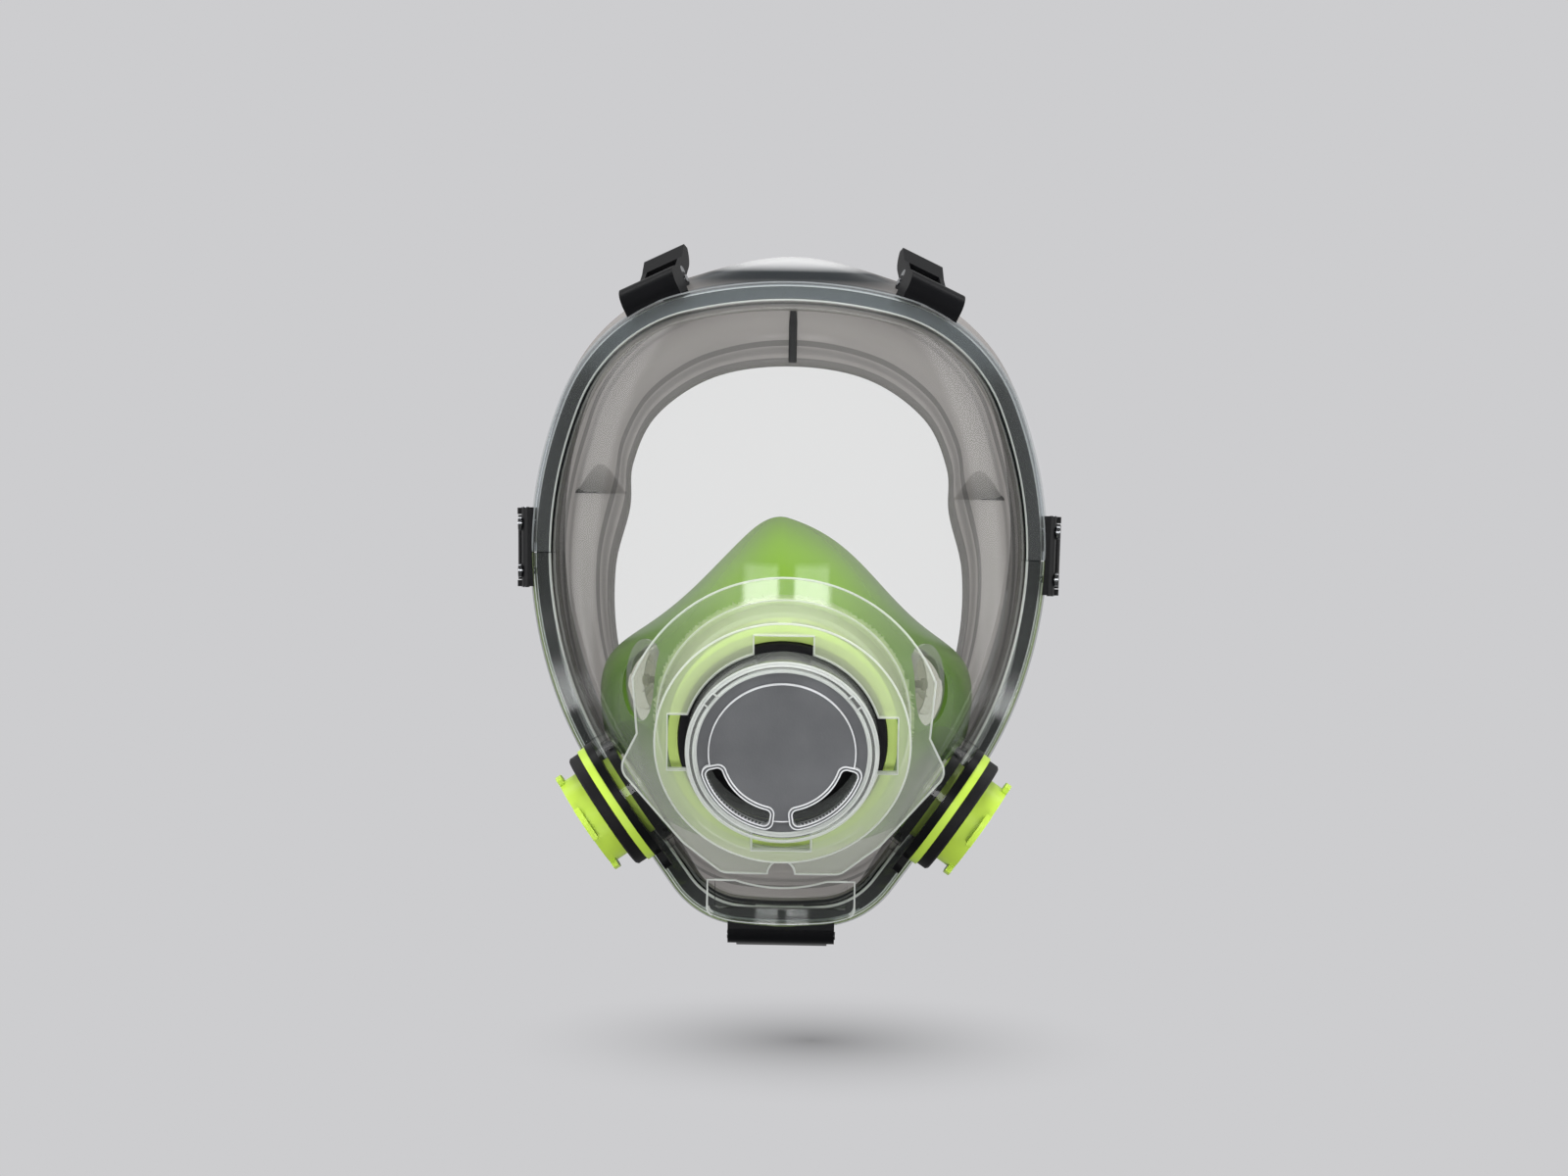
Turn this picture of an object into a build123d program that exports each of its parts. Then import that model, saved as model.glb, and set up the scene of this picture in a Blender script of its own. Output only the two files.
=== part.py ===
from build123d import *
import os
from math import cos, radians, sin, sqrt, tan

# Full-face respirator with two cheek filter ports and a central valve port.
# Millimetres. +Z is up, -Y is the front, +X is the wearer's left.
# The origin is the centre of the face opening; the rim's widest place is near y = 0.

# ---- Outline of the facepiece in the front view, as tangent arcs from the brow down one side ----
RIM_TOP = 101.5
BROW_RADIUS = 133.0
BROW_ANGLE = 15.7
SHOULDER_RADIUS = 57.3
SHOULDER_ANGLE = 55.8
TEMPLE_RADIUS = 141.6
TEMPLE_ANGLE = 51.7
JAW_FLAT = 39.3
CHIN_RADIUS = 31.9
CHIN_ANGLE = 50.3
OUTLINE_Y = 8.0
DRAFT = 7.5

# ---- Rim line, which comes forward at the brow and at the chin ----
TEMPLE_Y = 6.0
BROW_REACH = 50.0
CHIN_REACH = 46.0
CHIN_SHARPNESS = 2.5
RIM_CENTRE_Z = -2.0
RIM_BLEND = 20.0
RIM_GRID = 25
REAR_Y = 60.0
FRONT_Y = -130.0

# ---- Frame channel that clamps the visor and the seal ----
FRAME_WALL = 1.4
FRAME_LIP = 5.5
FRAME_FRONT = 4.6
FRAME_REAR = 4.4
FRAME_LIP_THICK = 1.5
FRAME_SPLIT_Z = 10.0
SPLIT_GAP = 0.3
CLEAR = 0.3

# ---- Visor ----
VISOR_WALL = 2.2
VISOR_INSET = 6.2
FLANGE_THICK = 2.2
LENS_FRONT_Y = -88.0
LENS_Z = -8.0
LENS_RADIUS_TALL = 150.0
LENS_RADIUS_WIDE = 82.0
LENS_EDGE_ROUND = 6.0
CHIN_LEDGE_WIDTH = 45.0
CHIN_LEDGE_BOTTOM = -100.5
CHIN_LEDGE_HEIGHT = 11.0
CHIN_LEDGE_FRONT_Y = -62.5
CHIN_LEDGE_REAR_Y = -45.0
CHIN_LEDGE_ROUND = 2.5

# ---- Face seal ----
BEAD_INSET = 1.7
SKIRT_INSET = 6.6
SKIRT_FRONT = 1.0
SKIRT_WALL = 2.0
SKIRT_NECK = 6.0
SKIRT_SWELL = 17.0
ROLL_DEPTH = 22.5
ROLL_REAR = 26.5
ROLL_WIDTH = 3.0
LIP_DEPTH = 21.0
LIP_THICK = 2.0
SEAL_STATIONS = (
    # angle of the outline's normal, place on the jaw flat, flare past the outline, opening edge x and z
    (0.0, 0.0, 8.5, 0.0, 69.0),
    (14.0, 0.0, 5.3, 24.0, 65.5),
    (32.0, 0.0, 3.4, 42.0, 53.5),
    (52.0, 0.0, 2.2, 49.6, 38.0),
    (72.0, 0.0, 0.8, 50.6, 24.0),
    (90.0, 0.0, -0.5, 55.5, 6.0),
    (108.0, 0.0, -0.5, 55.0, -16.0),
    (123.2, 0.0, -0.6, 49.0, -38.0),
    (123.2, 1.0, -1.0, 35.0, -64.0),
    (150.0, 1.0, -1.6, 20.0, -73.0),
    (180.0, 1.0, -1.8, 0.0, -76.0),
)

# ---- Valve port at the front ----
PORT_Y = -104.0
PORT_Z = -49.5
PORT_TILT = 20.0
CAP_RADIUS = 29.1
CAP_WALL = 3.3
CAP_HEIGHT = 14.7
CAP_STOP_SIZE = 2.2
COVER_DISC_THICK = 1.8
COVER_DISC_RECESS = 1.2
COVER_DISC_STEP = 0.8
COVER_DISC_RAISED = 22.0
KIDNEY_INNER = 18.6
KIDNEY_OUTER = 24.0
KIDNEY_START = 194.0
KIDNEY_END = 261.0
SLEEVE_RADIUS = 31.3
SLEEVE_WALL = 2.4
SLEEVE_TOP = -10.2
SLEEVE_BOTTOM = -17.0
HOUSING_RADIUS = 34.6
HOUSING_BARREL = 31.0
HOUSING_BORE = 28.4
HOUSING_TOP = -11.6
FLANGE_BOTTOM = -17.5
BOSS_RADIUS = 36.0
BOSS_FACE = -17.8
BOSS_WALL = 2.6
HOUSING_BOTTOM = -33.0
PORT_NUT_RADIUS = 33.0
PORT_NUT_HEIGHT = 5.0
PORT_NUT_NOTCH = 4.0
PORT_NUT_NOTCHES = 8
SEAT_THICK = 2.0
SEAT_Z = -21.0
EXHALE_RADIUS = 10.5
EXHALE_RIM = 1.0
EXHALE_OFFSET = -12.6
DIAPHRAGM_RADIUS = 10.0
DIAPHRAGM_OFFSET = 13.2
FILM_THICK = 0.5
SPOKE_WIDTH = 1.4
STEM_RADIUS = 1.2
BULB_LIP = 0.7
BULB_HEIGHT = 1.0
FLAP_TRAVEL = 2.2
FLAP_LAP = 1.2
FILM_STIFF = 0.8
FIT = 0.05

# ---- Clear cover over the front of the visor ----
COVER_GAP = 0.5
COVER_WALL = 2.0
COVER_COLLAR = 38.4
COVER_FACE = -8.0
COVER_FACE_THICK = 1.8
COVER_BORE = 30.0
COVER_SLOT_WIDTH = 18.0
COVER_SLOT_OUTER = 34.6
COVER_TOP_RADIUS = 46.0
COVER_TOP_Z = 3.0
COVER_WING_X = 50.0
COVER_WING_Z = -56.0
COVER_WAIST_X = 44.5
COVER_WAIST_Z = -45.0
COVER_FOOT_X = 30.0
COVER_FOOT_Z = -78.0
COVER_BOTTOM_Z = -87.0
COVER_NOTCH = 4.2
COVER_CORNER = 5.0

# ---- Nose cup ----
CUP_WALL = 2.0
CUP_NECK = 34.2
CUP_NECK_TOP = -34.0
CUP_NECK_LENGTH = 6.0
CUP_COLLAR = 1.1
CUP_REAR_Y = 8.0
CUP_EDGE_RADIUS = 64.0
CUP_EDGE_Z = -28.0
CUP_MIDDLE_Z = -33.0
CUP_PEAK = 58.0
CUP_FOOT = 52.5
CUP_WIDTH = 59.0
CUP_SIDE_GAP = 1.2
CUP_FLANK = -13.0
CUP_FLANK_TURN = 19.0
CHECK_SEAT_RADIUS = 12.5
CHECK_FLANGE = 1.5
CHECK_FLANGE_Z = 1.4
CHECK_TUBE = 1.7
CHECK_HALF = 2.4
CHECK_SPOKE = 1.2
CHECK_FLAP_RADIUS = 10.3
CHECK_INSET = 17.5
CHECK_Y = -44.0
CHECK_Z = -29.0
CHECK_YAW = 62.0

# ---- Filter ports on the cheeks ----
FILTER_X = 48.4
FILTER_Y = -36.0
FILTER_Z = -65.4
FILTER_DROP = 34.6
FILTER_BOSS = 20.8
FILTER_POCKET = 18.4
FILTER_BARREL = 13.4
FILTER_BORE = 11.5
PLATE_RADIUS = 20.4
PLATE_THICK = 2.6
RING_RADIUS = 20.0
RING_THICK = 2.6
GASKET_RADIUS = 19.4
GASKET_THICK = 3.8
SPIGOT_RADIUS = 14.7
SPIGOT_HEIGHT = 6.4
LUG_RADIUS = 17.0
LUG_THICK = 1.8
LUG_SWEEP = 40.0
LUG_COUNT = 4
FILTER_NUT = 17.4
FILTER_NUT_HEIGHT = 3.0
FILTER_NUT_NOTCH = 3.0
FILTER_NUT_NOTCHES = 6
NOTCH_DEPTH = 1.2
SEAT_BORE = 10.6
SEAT_STEP = -0.3
INHALE_SPOKE = 1.5
PLATE_TAB_WIDTH = 8.0
PLATE_TAB_REACH = 25.5

# ---- Strap buckles ----
HOOD_NOSE = 0.6
HOOD_CREST_Y = 0.6
HOOD_ROOT = -5.0
BUCKLE_EAR = 2.0
BUCKLE_RAIL = 1.7
BUCKLE_SIDE_GAP = 0.3
PIN_RADIUS = 1.25
PIN_Y = 7.4
BARREL_RADIUS = 2.3
ROLLER_RADIUS = 1.6
ROLLER_Y = 9.0
FLAP_Y = 15.6
FLAP_LENGTH = 9.6
FLAP_CURL = 3.2
FLAP_THICK = 2.0
RAIL_HEIGHT = 4.4
SCREW_RADIUS = 1.1
SCREW_HEAD = 2.2
SCREW_HEAD_HEIGHT = 1.1
SCREW_PITCH = 15.0
BUCKLES = {
    # name: (angle of the outline's normal from straight up, width, hood height, pin height, rest swivel, yaw)
    "top_left": (24.6, 19.0, 7.8, 3.0, 21.0, 16.0),
    "top_right": (-24.6, 19.0, 7.8, 3.0, 21.0, -16.0),
    "side_left": (91.2, 25.0, 3.0, 2.2, 1.0, 0.0),
    "side_right": (-91.2, 25.0, 3.0, 2.2, 1.0, 0.0),
    "chin": (180.0, 33.0, 5.2, 3.0, 4.0, 0.0),
}
SCREWED = ("side_left", "side_right")

# ---- Values that follow from the ones above ----
REACH = 3.0 * RIM_TOP
CHECK_X = CUP_WIDTH - CHECK_INSET
OUTLINE_ARCS = (
    (BROW_RADIUS, BROW_ANGLE),
    (SHOULDER_RADIUS, SHOULDER_ANGLE),
    (TEMPLE_RADIUS, TEMPLE_ANGLE),
)
DRAFT_GROWTH = tan(radians(DRAFT))
JAW_ANGLE = BROW_ANGLE + SHOULDER_ANGLE + TEMPLE_ANGLE
CHIN_END_ANGLE = 180.0 - JAW_ANGLE - CHIN_ANGLE


# ---------------------------------------------------------------- shared shapes
def disc(radius, bottom, top):
    """Cylinder on the local Z axis between two heights."""
    return Pos(0, 0, bottom) * Cylinder(radius, top - bottom, align=(Align.CENTER, Align.CENTER, Align.MIN))


def ring(outer, inner, bottom, top):
    """Flat ring or tube on the local Z axis."""
    return disc(outer, bottom, top) - disc(inner, bottom - 1, top + 1)


def arc_bar(inner, outer, start, sweep, bottom, top, corner=0.0):
    """Sector of a ring, with its four corners rounded."""
    far = CenterArc((0, 0), outer, start, sweep)
    near = CenterArc((0, 0), inner, start, sweep)
    face = make_face(far + Line(far @ 1, near @ 1) + near + Line(near @ 0, far @ 0))
    if corner:
        face = fillet(face.vertices(), corner)
    return Pos(0, 0, bottom) * extrude(face, amount=top - bottom)


def front_plane(y):
    """Plane at depth y, drawn with X to the right and Z up."""
    return Plane.XZ.offset(-y)


def side_arcs(inset):
    """Right half of the outline, from the top centre to the bottom centre."""
    start = (0, RIM_TOP - inset)
    heading = (1, 0)
    edges = []
    for radius, angle in OUTLINE_ARCS:
        arc = JernArc(start, heading, radius - inset, -angle)
        edges.append(arc)
        start = arc @ 1
        heading = arc % 1
    flat = Line(start, start + heading * JAW_FLAT)
    chin = JernArc(flat @ 1, flat % 1, CHIN_RADIUS - inset, -CHIN_ANGLE)
    foot = JernArc(chin @ 1, chin % 1, (chin @ 1).X / sin(radians(CHIN_END_ANGLE)), -CHIN_END_ANGLE)
    return edges + [flat, chin, foot]


def outline_face(inset):
    """Outline of the facepiece, moved inwards by inset."""
    half = Curve() + side_arcs(inset)
    return make_face(half + mirror(half, Plane.YZ))


def body_prism(inset):
    """Drafted solid within the outline, wider towards the rear."""
    rear_inset = inset - DRAFT_GROWTH * (REAR_Y - OUTLINE_Y)
    return extrude(front_plane(REAR_Y) * outline_face(rear_inset), amount=REAR_Y - FRONT_Y, taper=DRAFT)


def rim_depth(x, z):
    """Depth of the rim line behind a place in the front view."""
    rise = z - RIM_CENTRE_Z
    steepness = rise * rise / (x * x + rise * rise + RIM_BLEND * RIM_BLEND)
    if rise > 0:
        return TEMPLE_Y - BROW_REACH * steepness
    return TEMPLE_Y - CHIN_REACH * steepness**CHIN_SHARPNESS


def rim_surface():
    """Smooth surface through the rim line, level along each outward direction."""
    reach = 1.4 * RIM_TOP
    steps = [reach * (2 * i / (RIM_GRID - 1) - 1) for i in range(RIM_GRID)]
    points = [[Vector(x, rim_depth(x, z), z) for z in steps] for x in steps]
    return Face.make_surface_from_array_of_points(points, tol=0.05)


RIM = rim_surface()


def rim_slab(front, rear):
    """Everything between two offsets from the rim line, measured backwards."""
    return extrude(Pos(0, front, 0) * RIM, amount=rear - front, dir=(0, 1, 0))


def rim_band(outer_inset, inner_inset, front, rear):
    """Closed band that follows the rim."""
    return (body_prism(outer_inset) - body_prism(inner_inset)) & rim_slab(front, rear)


def turned(x, z, radius, start, sweep):
    """End of an arc of the outline that starts at x, z and turns from one heading to another."""
    first = radians(start)
    last = radians(start + sweep)
    return x + radius * (sin(last) - sin(first)), z - radius * (cos(first) - cos(last))


def outline_point(angle, along=1.0):
    """Place on the rim line whose outward normal is turned by angle from straight up."""
    turn = min(abs(angle), 180.0)
    side = 1 if angle >= 0 else -1
    x, z, done = 0.0, RIM_TOP, 0.0
    for radius, sweep in OUTLINE_ARCS:
        part = max(min(sweep, turn - done), 0.0)
        x, z = turned(x, z, radius, done, part)
        done += part
    if turn >= JAW_ANGLE:
        x += along * JAW_FLAT * cos(radians(JAW_ANGLE))
        z -= along * JAW_FLAT * sin(radians(JAW_ANGLE))
        chin = min(CHIN_ANGLE, turn - JAW_ANGLE)
        x, z = turned(x, z, CHIN_RADIUS, JAW_ANGLE, chin)
        if chin == CHIN_ANGLE:
            foot_radius = x / sin(radians(CHIN_END_ANGLE))
            x, z = turned(x, z, foot_radius, JAW_ANGLE + chin, turn - JAW_ANGLE - chin)
    inwards = 0.0
    for _ in range(4):
        y = rim_depth(x - inwards * sin(radians(turn)), z - inwards * cos(radians(turn)))
        inwards = DRAFT_GROWTH * (OUTLINE_Y - y)
    return Vector(side * (x - inwards * sin(radians(turn))), y, z - inwards * cos(radians(turn)))


PORT = Plane(
    origin=(0, PORT_Y, PORT_Z),
    x_dir=(1, 0, 0),
    z_dir=(0, -cos(radians(PORT_TILT)), -sin(radians(PORT_TILT))),
).location


def filter_place(side):
    """Frame of a cheek port: its Z axis points out of the port."""
    drop = radians(FILTER_DROP)
    return Plane(
        origin=(side * FILTER_X, FILTER_Y, FILTER_Z),
        x_dir=(0, side, 0),
        z_dir=(side * cos(drop), 0, -sin(drop)),
    ).location


def check_place(side):
    """Frame of a check valve on the nose cup: its Z axis points out of the cup."""
    yaw = radians(CHECK_YAW)
    return Plane(
        origin=(side * CHECK_X, CHECK_Y, CHECK_Z),
        x_dir=(0, 0, 1),
        z_dir=(side * sin(yaw), -cos(yaw), 0),
    ).location


def buckle_place(name):
    """Frame of a buckle on the rim: X along the rim, Y backwards, Z outwards."""
    angle, width, hood, lift, swivel, yaw = BUCKLES[name]
    turn = radians(angle)
    plane = Plane(origin=outline_point(angle), x_dir=(cos(turn), 0, -sin(turn)), z_dir=(sin(turn), 0, cos(turn)))
    return plane.location * Rot(0, 0, yaw)


# ---------------------------------------------------------------- visor and frame
def lens_barrel(inset):
    """Barrel whose front is the panoramic lens surface: curved tightly across, gently in height."""
    width = LENS_RADIUS_WIDE - inset
    middle = LENS_RADIUS_TALL - LENS_RADIUS_WIDE
    arc = ThreePointArc((-width, middle), (0, middle + width), (width, middle))
    profile = make_face(arc + Polyline((width, middle), (width, 0), (-width, 0), (-width, middle)))
    return Pos(0, LENS_FRONT_Y + LENS_RADIUS_TALL, LENS_Z) * revolve(profile, Axis.X)


def visor_block(inset):
    """Solid within the visor's skin, its front edge rounded."""
    block = body_prism(VISOR_INSET + inset) & lens_barrel(inset) & rim_slab(FRONT_Y, 0)
    lens = block.faces().sort_by(Axis.Y)[0]
    return fillet(lens.edges(), LENS_EDGE_ROUND - inset)


def chin_ledge(inset):
    """Block of the small ledge moulded under the port."""
    width = CHIN_LEDGE_WIDTH - 2 * inset
    depth = CHIN_LEDGE_REAR_Y - CHIN_LEDGE_FRONT_Y - 2 * inset
    block = Box(width, depth, CHIN_LEDGE_HEIGHT, align=(Align.CENTER, Align.MIN, Align.MIN))
    block = fillet(block.edges().group_by(Axis.Z)[0], CHIN_LEDGE_ROUND - inset / 2)
    return Pos(0, CHIN_LEDGE_FRONT_Y + inset, CHIN_LEDGE_BOTTOM + inset) * block


def visor():
    """Clear panoramic visor: lens, drafted side walls, rim flange, port boss and two filter bosses."""
    body = visor_block(0)
    body += PORT * disc(BOSS_RADIUS, HOUSING_BOTTOM, BOSS_FACE)
    for side in (1, -1):
        body += filter_place(side) * disc(FILTER_BOSS, -16, 0)
    body -= rim_band(-VISOR_INSET, FRAME_LIP + CLEAR, -FRAME_FRONT - CLEAR, FRAME_REAR)
    body += rim_band(FRAME_WALL + CLEAR, VISOR_INSET + VISOR_WALL, -FLANGE_THICK, 0)
    body += chin_ledge(0)
    body -= chin_ledge(VISOR_WALL) & body_prism(VISOR_INSET - 8)
    body -= visor_block(VISOR_WALL) + (body_prism(VISOR_INSET + VISOR_WALL) & rim_slab(-FLANGE_THICK - 1, 10))
    body -= PORT * disc(BOSS_RADIUS - BOSS_WALL, HOUSING_BOTTOM - 1, BOSS_FACE - BOSS_WALL)
    body -= PORT * disc(HOUSING_BARREL + CLEAR, HOUSING_BOTTOM, 0)
    for side in (1, -1):
        body -= filter_place(side) * disc(FILTER_POCKET, -17, -VISOR_WALL)
        body -= filter_place(side) * disc(FILTER_BARREL + CLEAR, -17, 1)
    return body


def frame_ring():
    """Channel that grips the visor flange and the seal bead all round."""
    band = rim_band(0, FRAME_LIP, -FRAME_FRONT, FRAME_REAR)
    groove = rim_band(FRAME_WALL, FRAME_LIP + 3, -FRAME_FRONT + FRAME_LIP_THICK, FRAME_REAR - FRAME_LIP_THICK)
    return band - groove


def frame_half(channel, upper):
    """Upper or lower half of the channel, split under the side buckles."""
    edge = FRAME_SPLIT_Z + (SPLIT_GAP / 2 if upper else -SPLIT_GAP / 2)
    align = Align.MIN if upper else Align.MAX
    keep = Pos(0, 0, edge) * Box(REACH, REACH, REACH, align=(Align.CENTER, Align.CENTER, align))
    half = channel & keep
    for name in SCREWED:
        for step in (-1, 1):
            half -= buckle_place(name) * Pos(step * SCREW_PITCH / 2, 0, 0) * disc(SCREW_RADIUS + FIT, -4, 4)
    return half


# ---------------------------------------------------------------- face seal
def seal_points(angle, along, flare, edge_x, edge_z):
    """Corners of the skirt's J-shaped section where the rim's outward normal has this angle."""
    rim = outline_point(angle, along)
    outwards = Vector(sin(radians(angle)), 0, cos(radians(angle)))
    edge = Vector(edge_x, rim.Y, edge_z)

    def at(offset, depth):
        return rim + outwards * offset + Vector(0, depth, 0)

    roll = at(flare - ROLL_WIDTH, 0)

    def lip(share, depth):
        return roll + (edge - roll) * share + Vector(0, depth, 0)

    return [
        at(-SKIRT_INSET, SKIRT_FRONT),
        at(-SKIRT_INSET, SKIRT_NECK),
        at(flare - 0.6, SKIRT_SWELL),
        at(flare, ROLL_DEPTH),
        at(flare - ROLL_WIDTH, ROLL_REAR),
        lip(0.5, ROLL_REAR - 1.0),
        lip(1.0, LIP_DEPTH + LIP_THICK),
        lip(1.0, LIP_DEPTH),
        lip(0.5, ROLL_REAR - 1.0 - LIP_THICK),
        at(flare - ROLL_WIDTH - 0.8, ROLL_REAR - SKIRT_WALL - 0.6),
        at(flare - 0.6 - SKIRT_WALL, SKIRT_SWELL + 0.6),
        at(-SKIRT_INSET - SKIRT_WALL, SKIRT_NECK),
        at(-SKIRT_INSET - SKIRT_WALL, SKIRT_FRONT),
    ]


def skirt_wire(station, side=1):
    """Section of the skirt on the right (side 1) or mirrored to the left (side -1)."""
    return Wire.make_polygon([Vector(side * p.X, p.Y, p.Z) for p in seal_points(*station)], close=True)


def face_seal():
    """Silicone seal: bead in the frame, skirt, rear roll and a lip that turns in round the face."""
    wires = [skirt_wire(station) for station in SEAL_STATIONS]
    wires = [skirt_wire(SEAL_STATIONS[1], -1)] + wires + [skirt_wire(SEAL_STATIONS[-2], -1)]
    right = Box(REACH, REACH, REACH, align=(Align.MIN, Align.CENTER, Align.CENTER))
    half = (Part() + Solid.make_loft(wires)) & right
    bead_rear = FRAME_REAR - FRAME_LIP_THICK - CLEAR
    bead = rim_band(BEAD_INSET, SKIRT_INSET + SKIRT_WALL / 2, CLEAR, bead_rear)
    return half + mirror(half, Plane.YZ) + bead


# ---------------------------------------------------------------- nose cup
def cup_section(y, z, tilt, inset, share):
    """Section of the cup between its peaked face edge (share 0) and its round neck (share 1)."""
    edge = [
        (0, CUP_PEAK),
        (0.24 * CUP_WIDTH, 0.86 * CUP_PEAK),
        (0.75 * CUP_WIDTH, 0.36 * CUP_PEAK),
        (0.965 * CUP_WIDTH, 0.17 * CUP_PEAK),
        (CUP_WIDTH, -0.08 * CUP_PEAK),
        (0.84 * CUP_WIDTH, -0.60 * CUP_FOOT),
        (0.42 * CUP_WIDTH, -0.93 * CUP_FOOT),
        (0, -CUP_FOOT),
    ]
    right = []
    for i, (x, height) in enumerate(edge):
        angle = radians(90 - 180 * i / (len(edge) - 1))
        mixed_x = x + share * (CUP_NECK * cos(angle) - x)
        mixed_z = height + share * (CUP_NECK * sin(angle) - height)
        shrink = 1 - inset / sqrt(mixed_x**2 + mixed_z**2)
        right.append((mixed_x * shrink, mixed_z * shrink))
    left = [(-x, height) for x, height in reversed(right[1:-1])]
    plane = Plane(origin=(0, y, z), x_dir=(1, 0, 0), z_dir=(0, -cos(radians(tilt)), -sin(radians(tilt))))
    return plane * make_face(Spline(*right, *left, periodic=True))


def cup_block(inset):
    """Solid within the nose cup's skin, kept clear of the visor and of the filter ports."""
    neck = (PORT * Pos(0, 0, CUP_NECK_TOP - CUP_NECK_LENGTH)).position
    rear_y = CUP_REAR_Y + 4
    sections = [
        cup_section(rear_y, CUP_MIDDLE_Z, 0, inset, 0.0),
        cup_section(
            rear_y + 0.55 * (neck.Y - rear_y), CUP_MIDDLE_Z + 0.4 * (neck.Z - CUP_MIDDLE_Z), 0.4 * PORT_TILT, inset, 0.3
        ),
        cup_section(neck.Y, neck.Z, PORT_TILT, inset, 1.0),
    ]
    block = loft(sections) & body_prism(VISOR_INSET + VISOR_WALL + CUP_SIDE_GAP + inset)
    for side in (1, -1):
        flank = Box(REACH, REACH, REACH, align=(Align.CENTER, Align.CENTER, Align.MAX))
        turn = Rot(0, -side * CUP_FLANK_TURN, 0)
        block &= filter_place(side) * Pos(0, 0, CUP_FLANK - inset) * turn * flank
    return block


def nose_cup():
    """Soft inner half mask: neck on the port housing, body, and a face edge cut to the face's curve."""
    middle_y = CUP_REAR_Y - CUP_EDGE_RADIUS
    face_curve = Pos(0, middle_y, CUP_EDGE_Z) * Rot(0, 90, 0) * Cylinder(CUP_EDGE_RADIUS, REACH)
    face_curve += Pos(0, middle_y, CUP_EDGE_Z) * Box(REACH, REACH, REACH, align=(Align.CENTER, Align.MAX, Align.CENTER))
    cup = (cup_block(0) & face_curve) - cup_block(CUP_WALL)
    neck_bottom = CUP_NECK_TOP - CUP_NECK_LENGTH
    cup += PORT * ring(CUP_NECK + CUP_COLLAR, HOUSING_BARREL + CLEAR, neck_bottom - CUP_WALL, CUP_NECK_TOP)
    for side in (1, -1):
        cup -= check_place(side) * disc(CHECK_SEAT_RADIUS - CHECK_FLANGE + CLEAR, -8, 8)
        cup -= check_place(side) * disc(CHECK_SEAT_RADIUS + CLEAR, CHECK_FLANGE_Z - CLEAR, 8)
    return cup


def check_seat(side):
    """Clear valve seat in the cup's side: rim, groove for the cup's edge, spokes and hub."""
    bore = CHECK_SEAT_RADIUS - CHECK_FLANGE - CHECK_TUBE
    seat = ring(CHECK_SEAT_RADIUS - CHECK_FLANGE, bore, -CHECK_HALF, CHECK_HALF)
    seat += ring(CHECK_SEAT_RADIUS, bore, CHECK_FLANGE_Z, CHECK_HALF)
    seat += spokes(bore + CHECK_TUBE / 2, -CHECK_HALF, -CHECK_HALF + CHECK_SPOKE, 3)
    return check_place(side) * seat


def spokes(reach, bottom, top, count):
    """Star of spokes with a bored hub."""
    star = disc(STEM_RADIUS + 1.6, bottom, top)
    for i in range(count):
        bar = Box(reach, SPOKE_WIDTH, top - bottom, align=(Align.MIN, Align.CENTER, Align.MIN))
        star += Rot(0, 0, 360 * i / count) * Pos(0, 0, bottom) * bar
    return star - disc(STEM_RADIUS + FIT, bottom - 1, top + 1)


def flap_valve(radius, seat_bottom, seat_top):
    """Silicone disc under a spoked seat, with a stem through the hub and a retaining bulb."""
    bulb = seat_top + FLAP_TRAVEL
    valve = disc(radius, seat_bottom - CLEAR - FILM_STIFF, seat_bottom - CLEAR)
    valve += disc(STEM_RADIUS, seat_bottom - CLEAR, bulb)
    valve += disc(STEM_RADIUS + BULB_LIP, bulb, bulb + BULB_HEIGHT)
    return valve


def check_valve(side):
    """Silicone flap of a check valve, on the inner side of its seat."""
    return check_place(side) * flap_valve(CHECK_FLAP_RADIUS, -CHECK_HALF, -CHECK_HALF + CHECK_SPOKE)


# ---------------------------------------------------------------- valve port
def port_housing():
    """Flanged barrel through the visor that carries the valve seat, the cap and the nose cup."""
    body = ring(HOUSING_RADIUS, HOUSING_BORE, FLANGE_BOTTOM, HOUSING_TOP)
    body += ring(HOUSING_BARREL, HOUSING_BORE, HOUSING_BOTTOM - 6, HOUSING_TOP)
    body -= disc(SLEEVE_RADIUS + CLEAR, SLEEVE_BOTTOM - CLEAR, 0)
    body += ring(HOUSING_BORE + 0.5, HOUSING_BORE - 2, SEAT_Z - SEAT_THICK - 1.5, SEAT_Z - SEAT_THICK)
    return PORT * body


def port_nut():
    """Castellated ring nut that pulls the housing against the visor from inside."""
    top = BOSS_FACE - BOSS_WALL
    nut = ring(PORT_NUT_RADIUS, HOUSING_BARREL + FIT, top - PORT_NUT_HEIGHT, top)
    notch = Pos(PORT_NUT_RADIUS, 0, top - PORT_NUT_HEIGHT) * Box(NOTCH_DEPTH * 2, PORT_NUT_NOTCH, PORT_NUT_NOTCH)
    for i in range(PORT_NUT_NOTCHES):
        nut -= Rot(0, 0, 360 * i / PORT_NUT_NOTCHES) * notch
    return PORT * nut


def port_sleeve():
    """Black rubber sleeve between the housing and the cap ring."""
    body = ring(SLEEVE_RADIUS, SLEEVE_RADIUS - SLEEVE_WALL, SLEEVE_BOTTOM, SLEEVE_TOP)
    body += ring(SLEEVE_RADIUS, HOUSING_BORE, SLEEVE_BOTTOM, SLEEVE_BOTTOM + 2)
    return PORT * body


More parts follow.
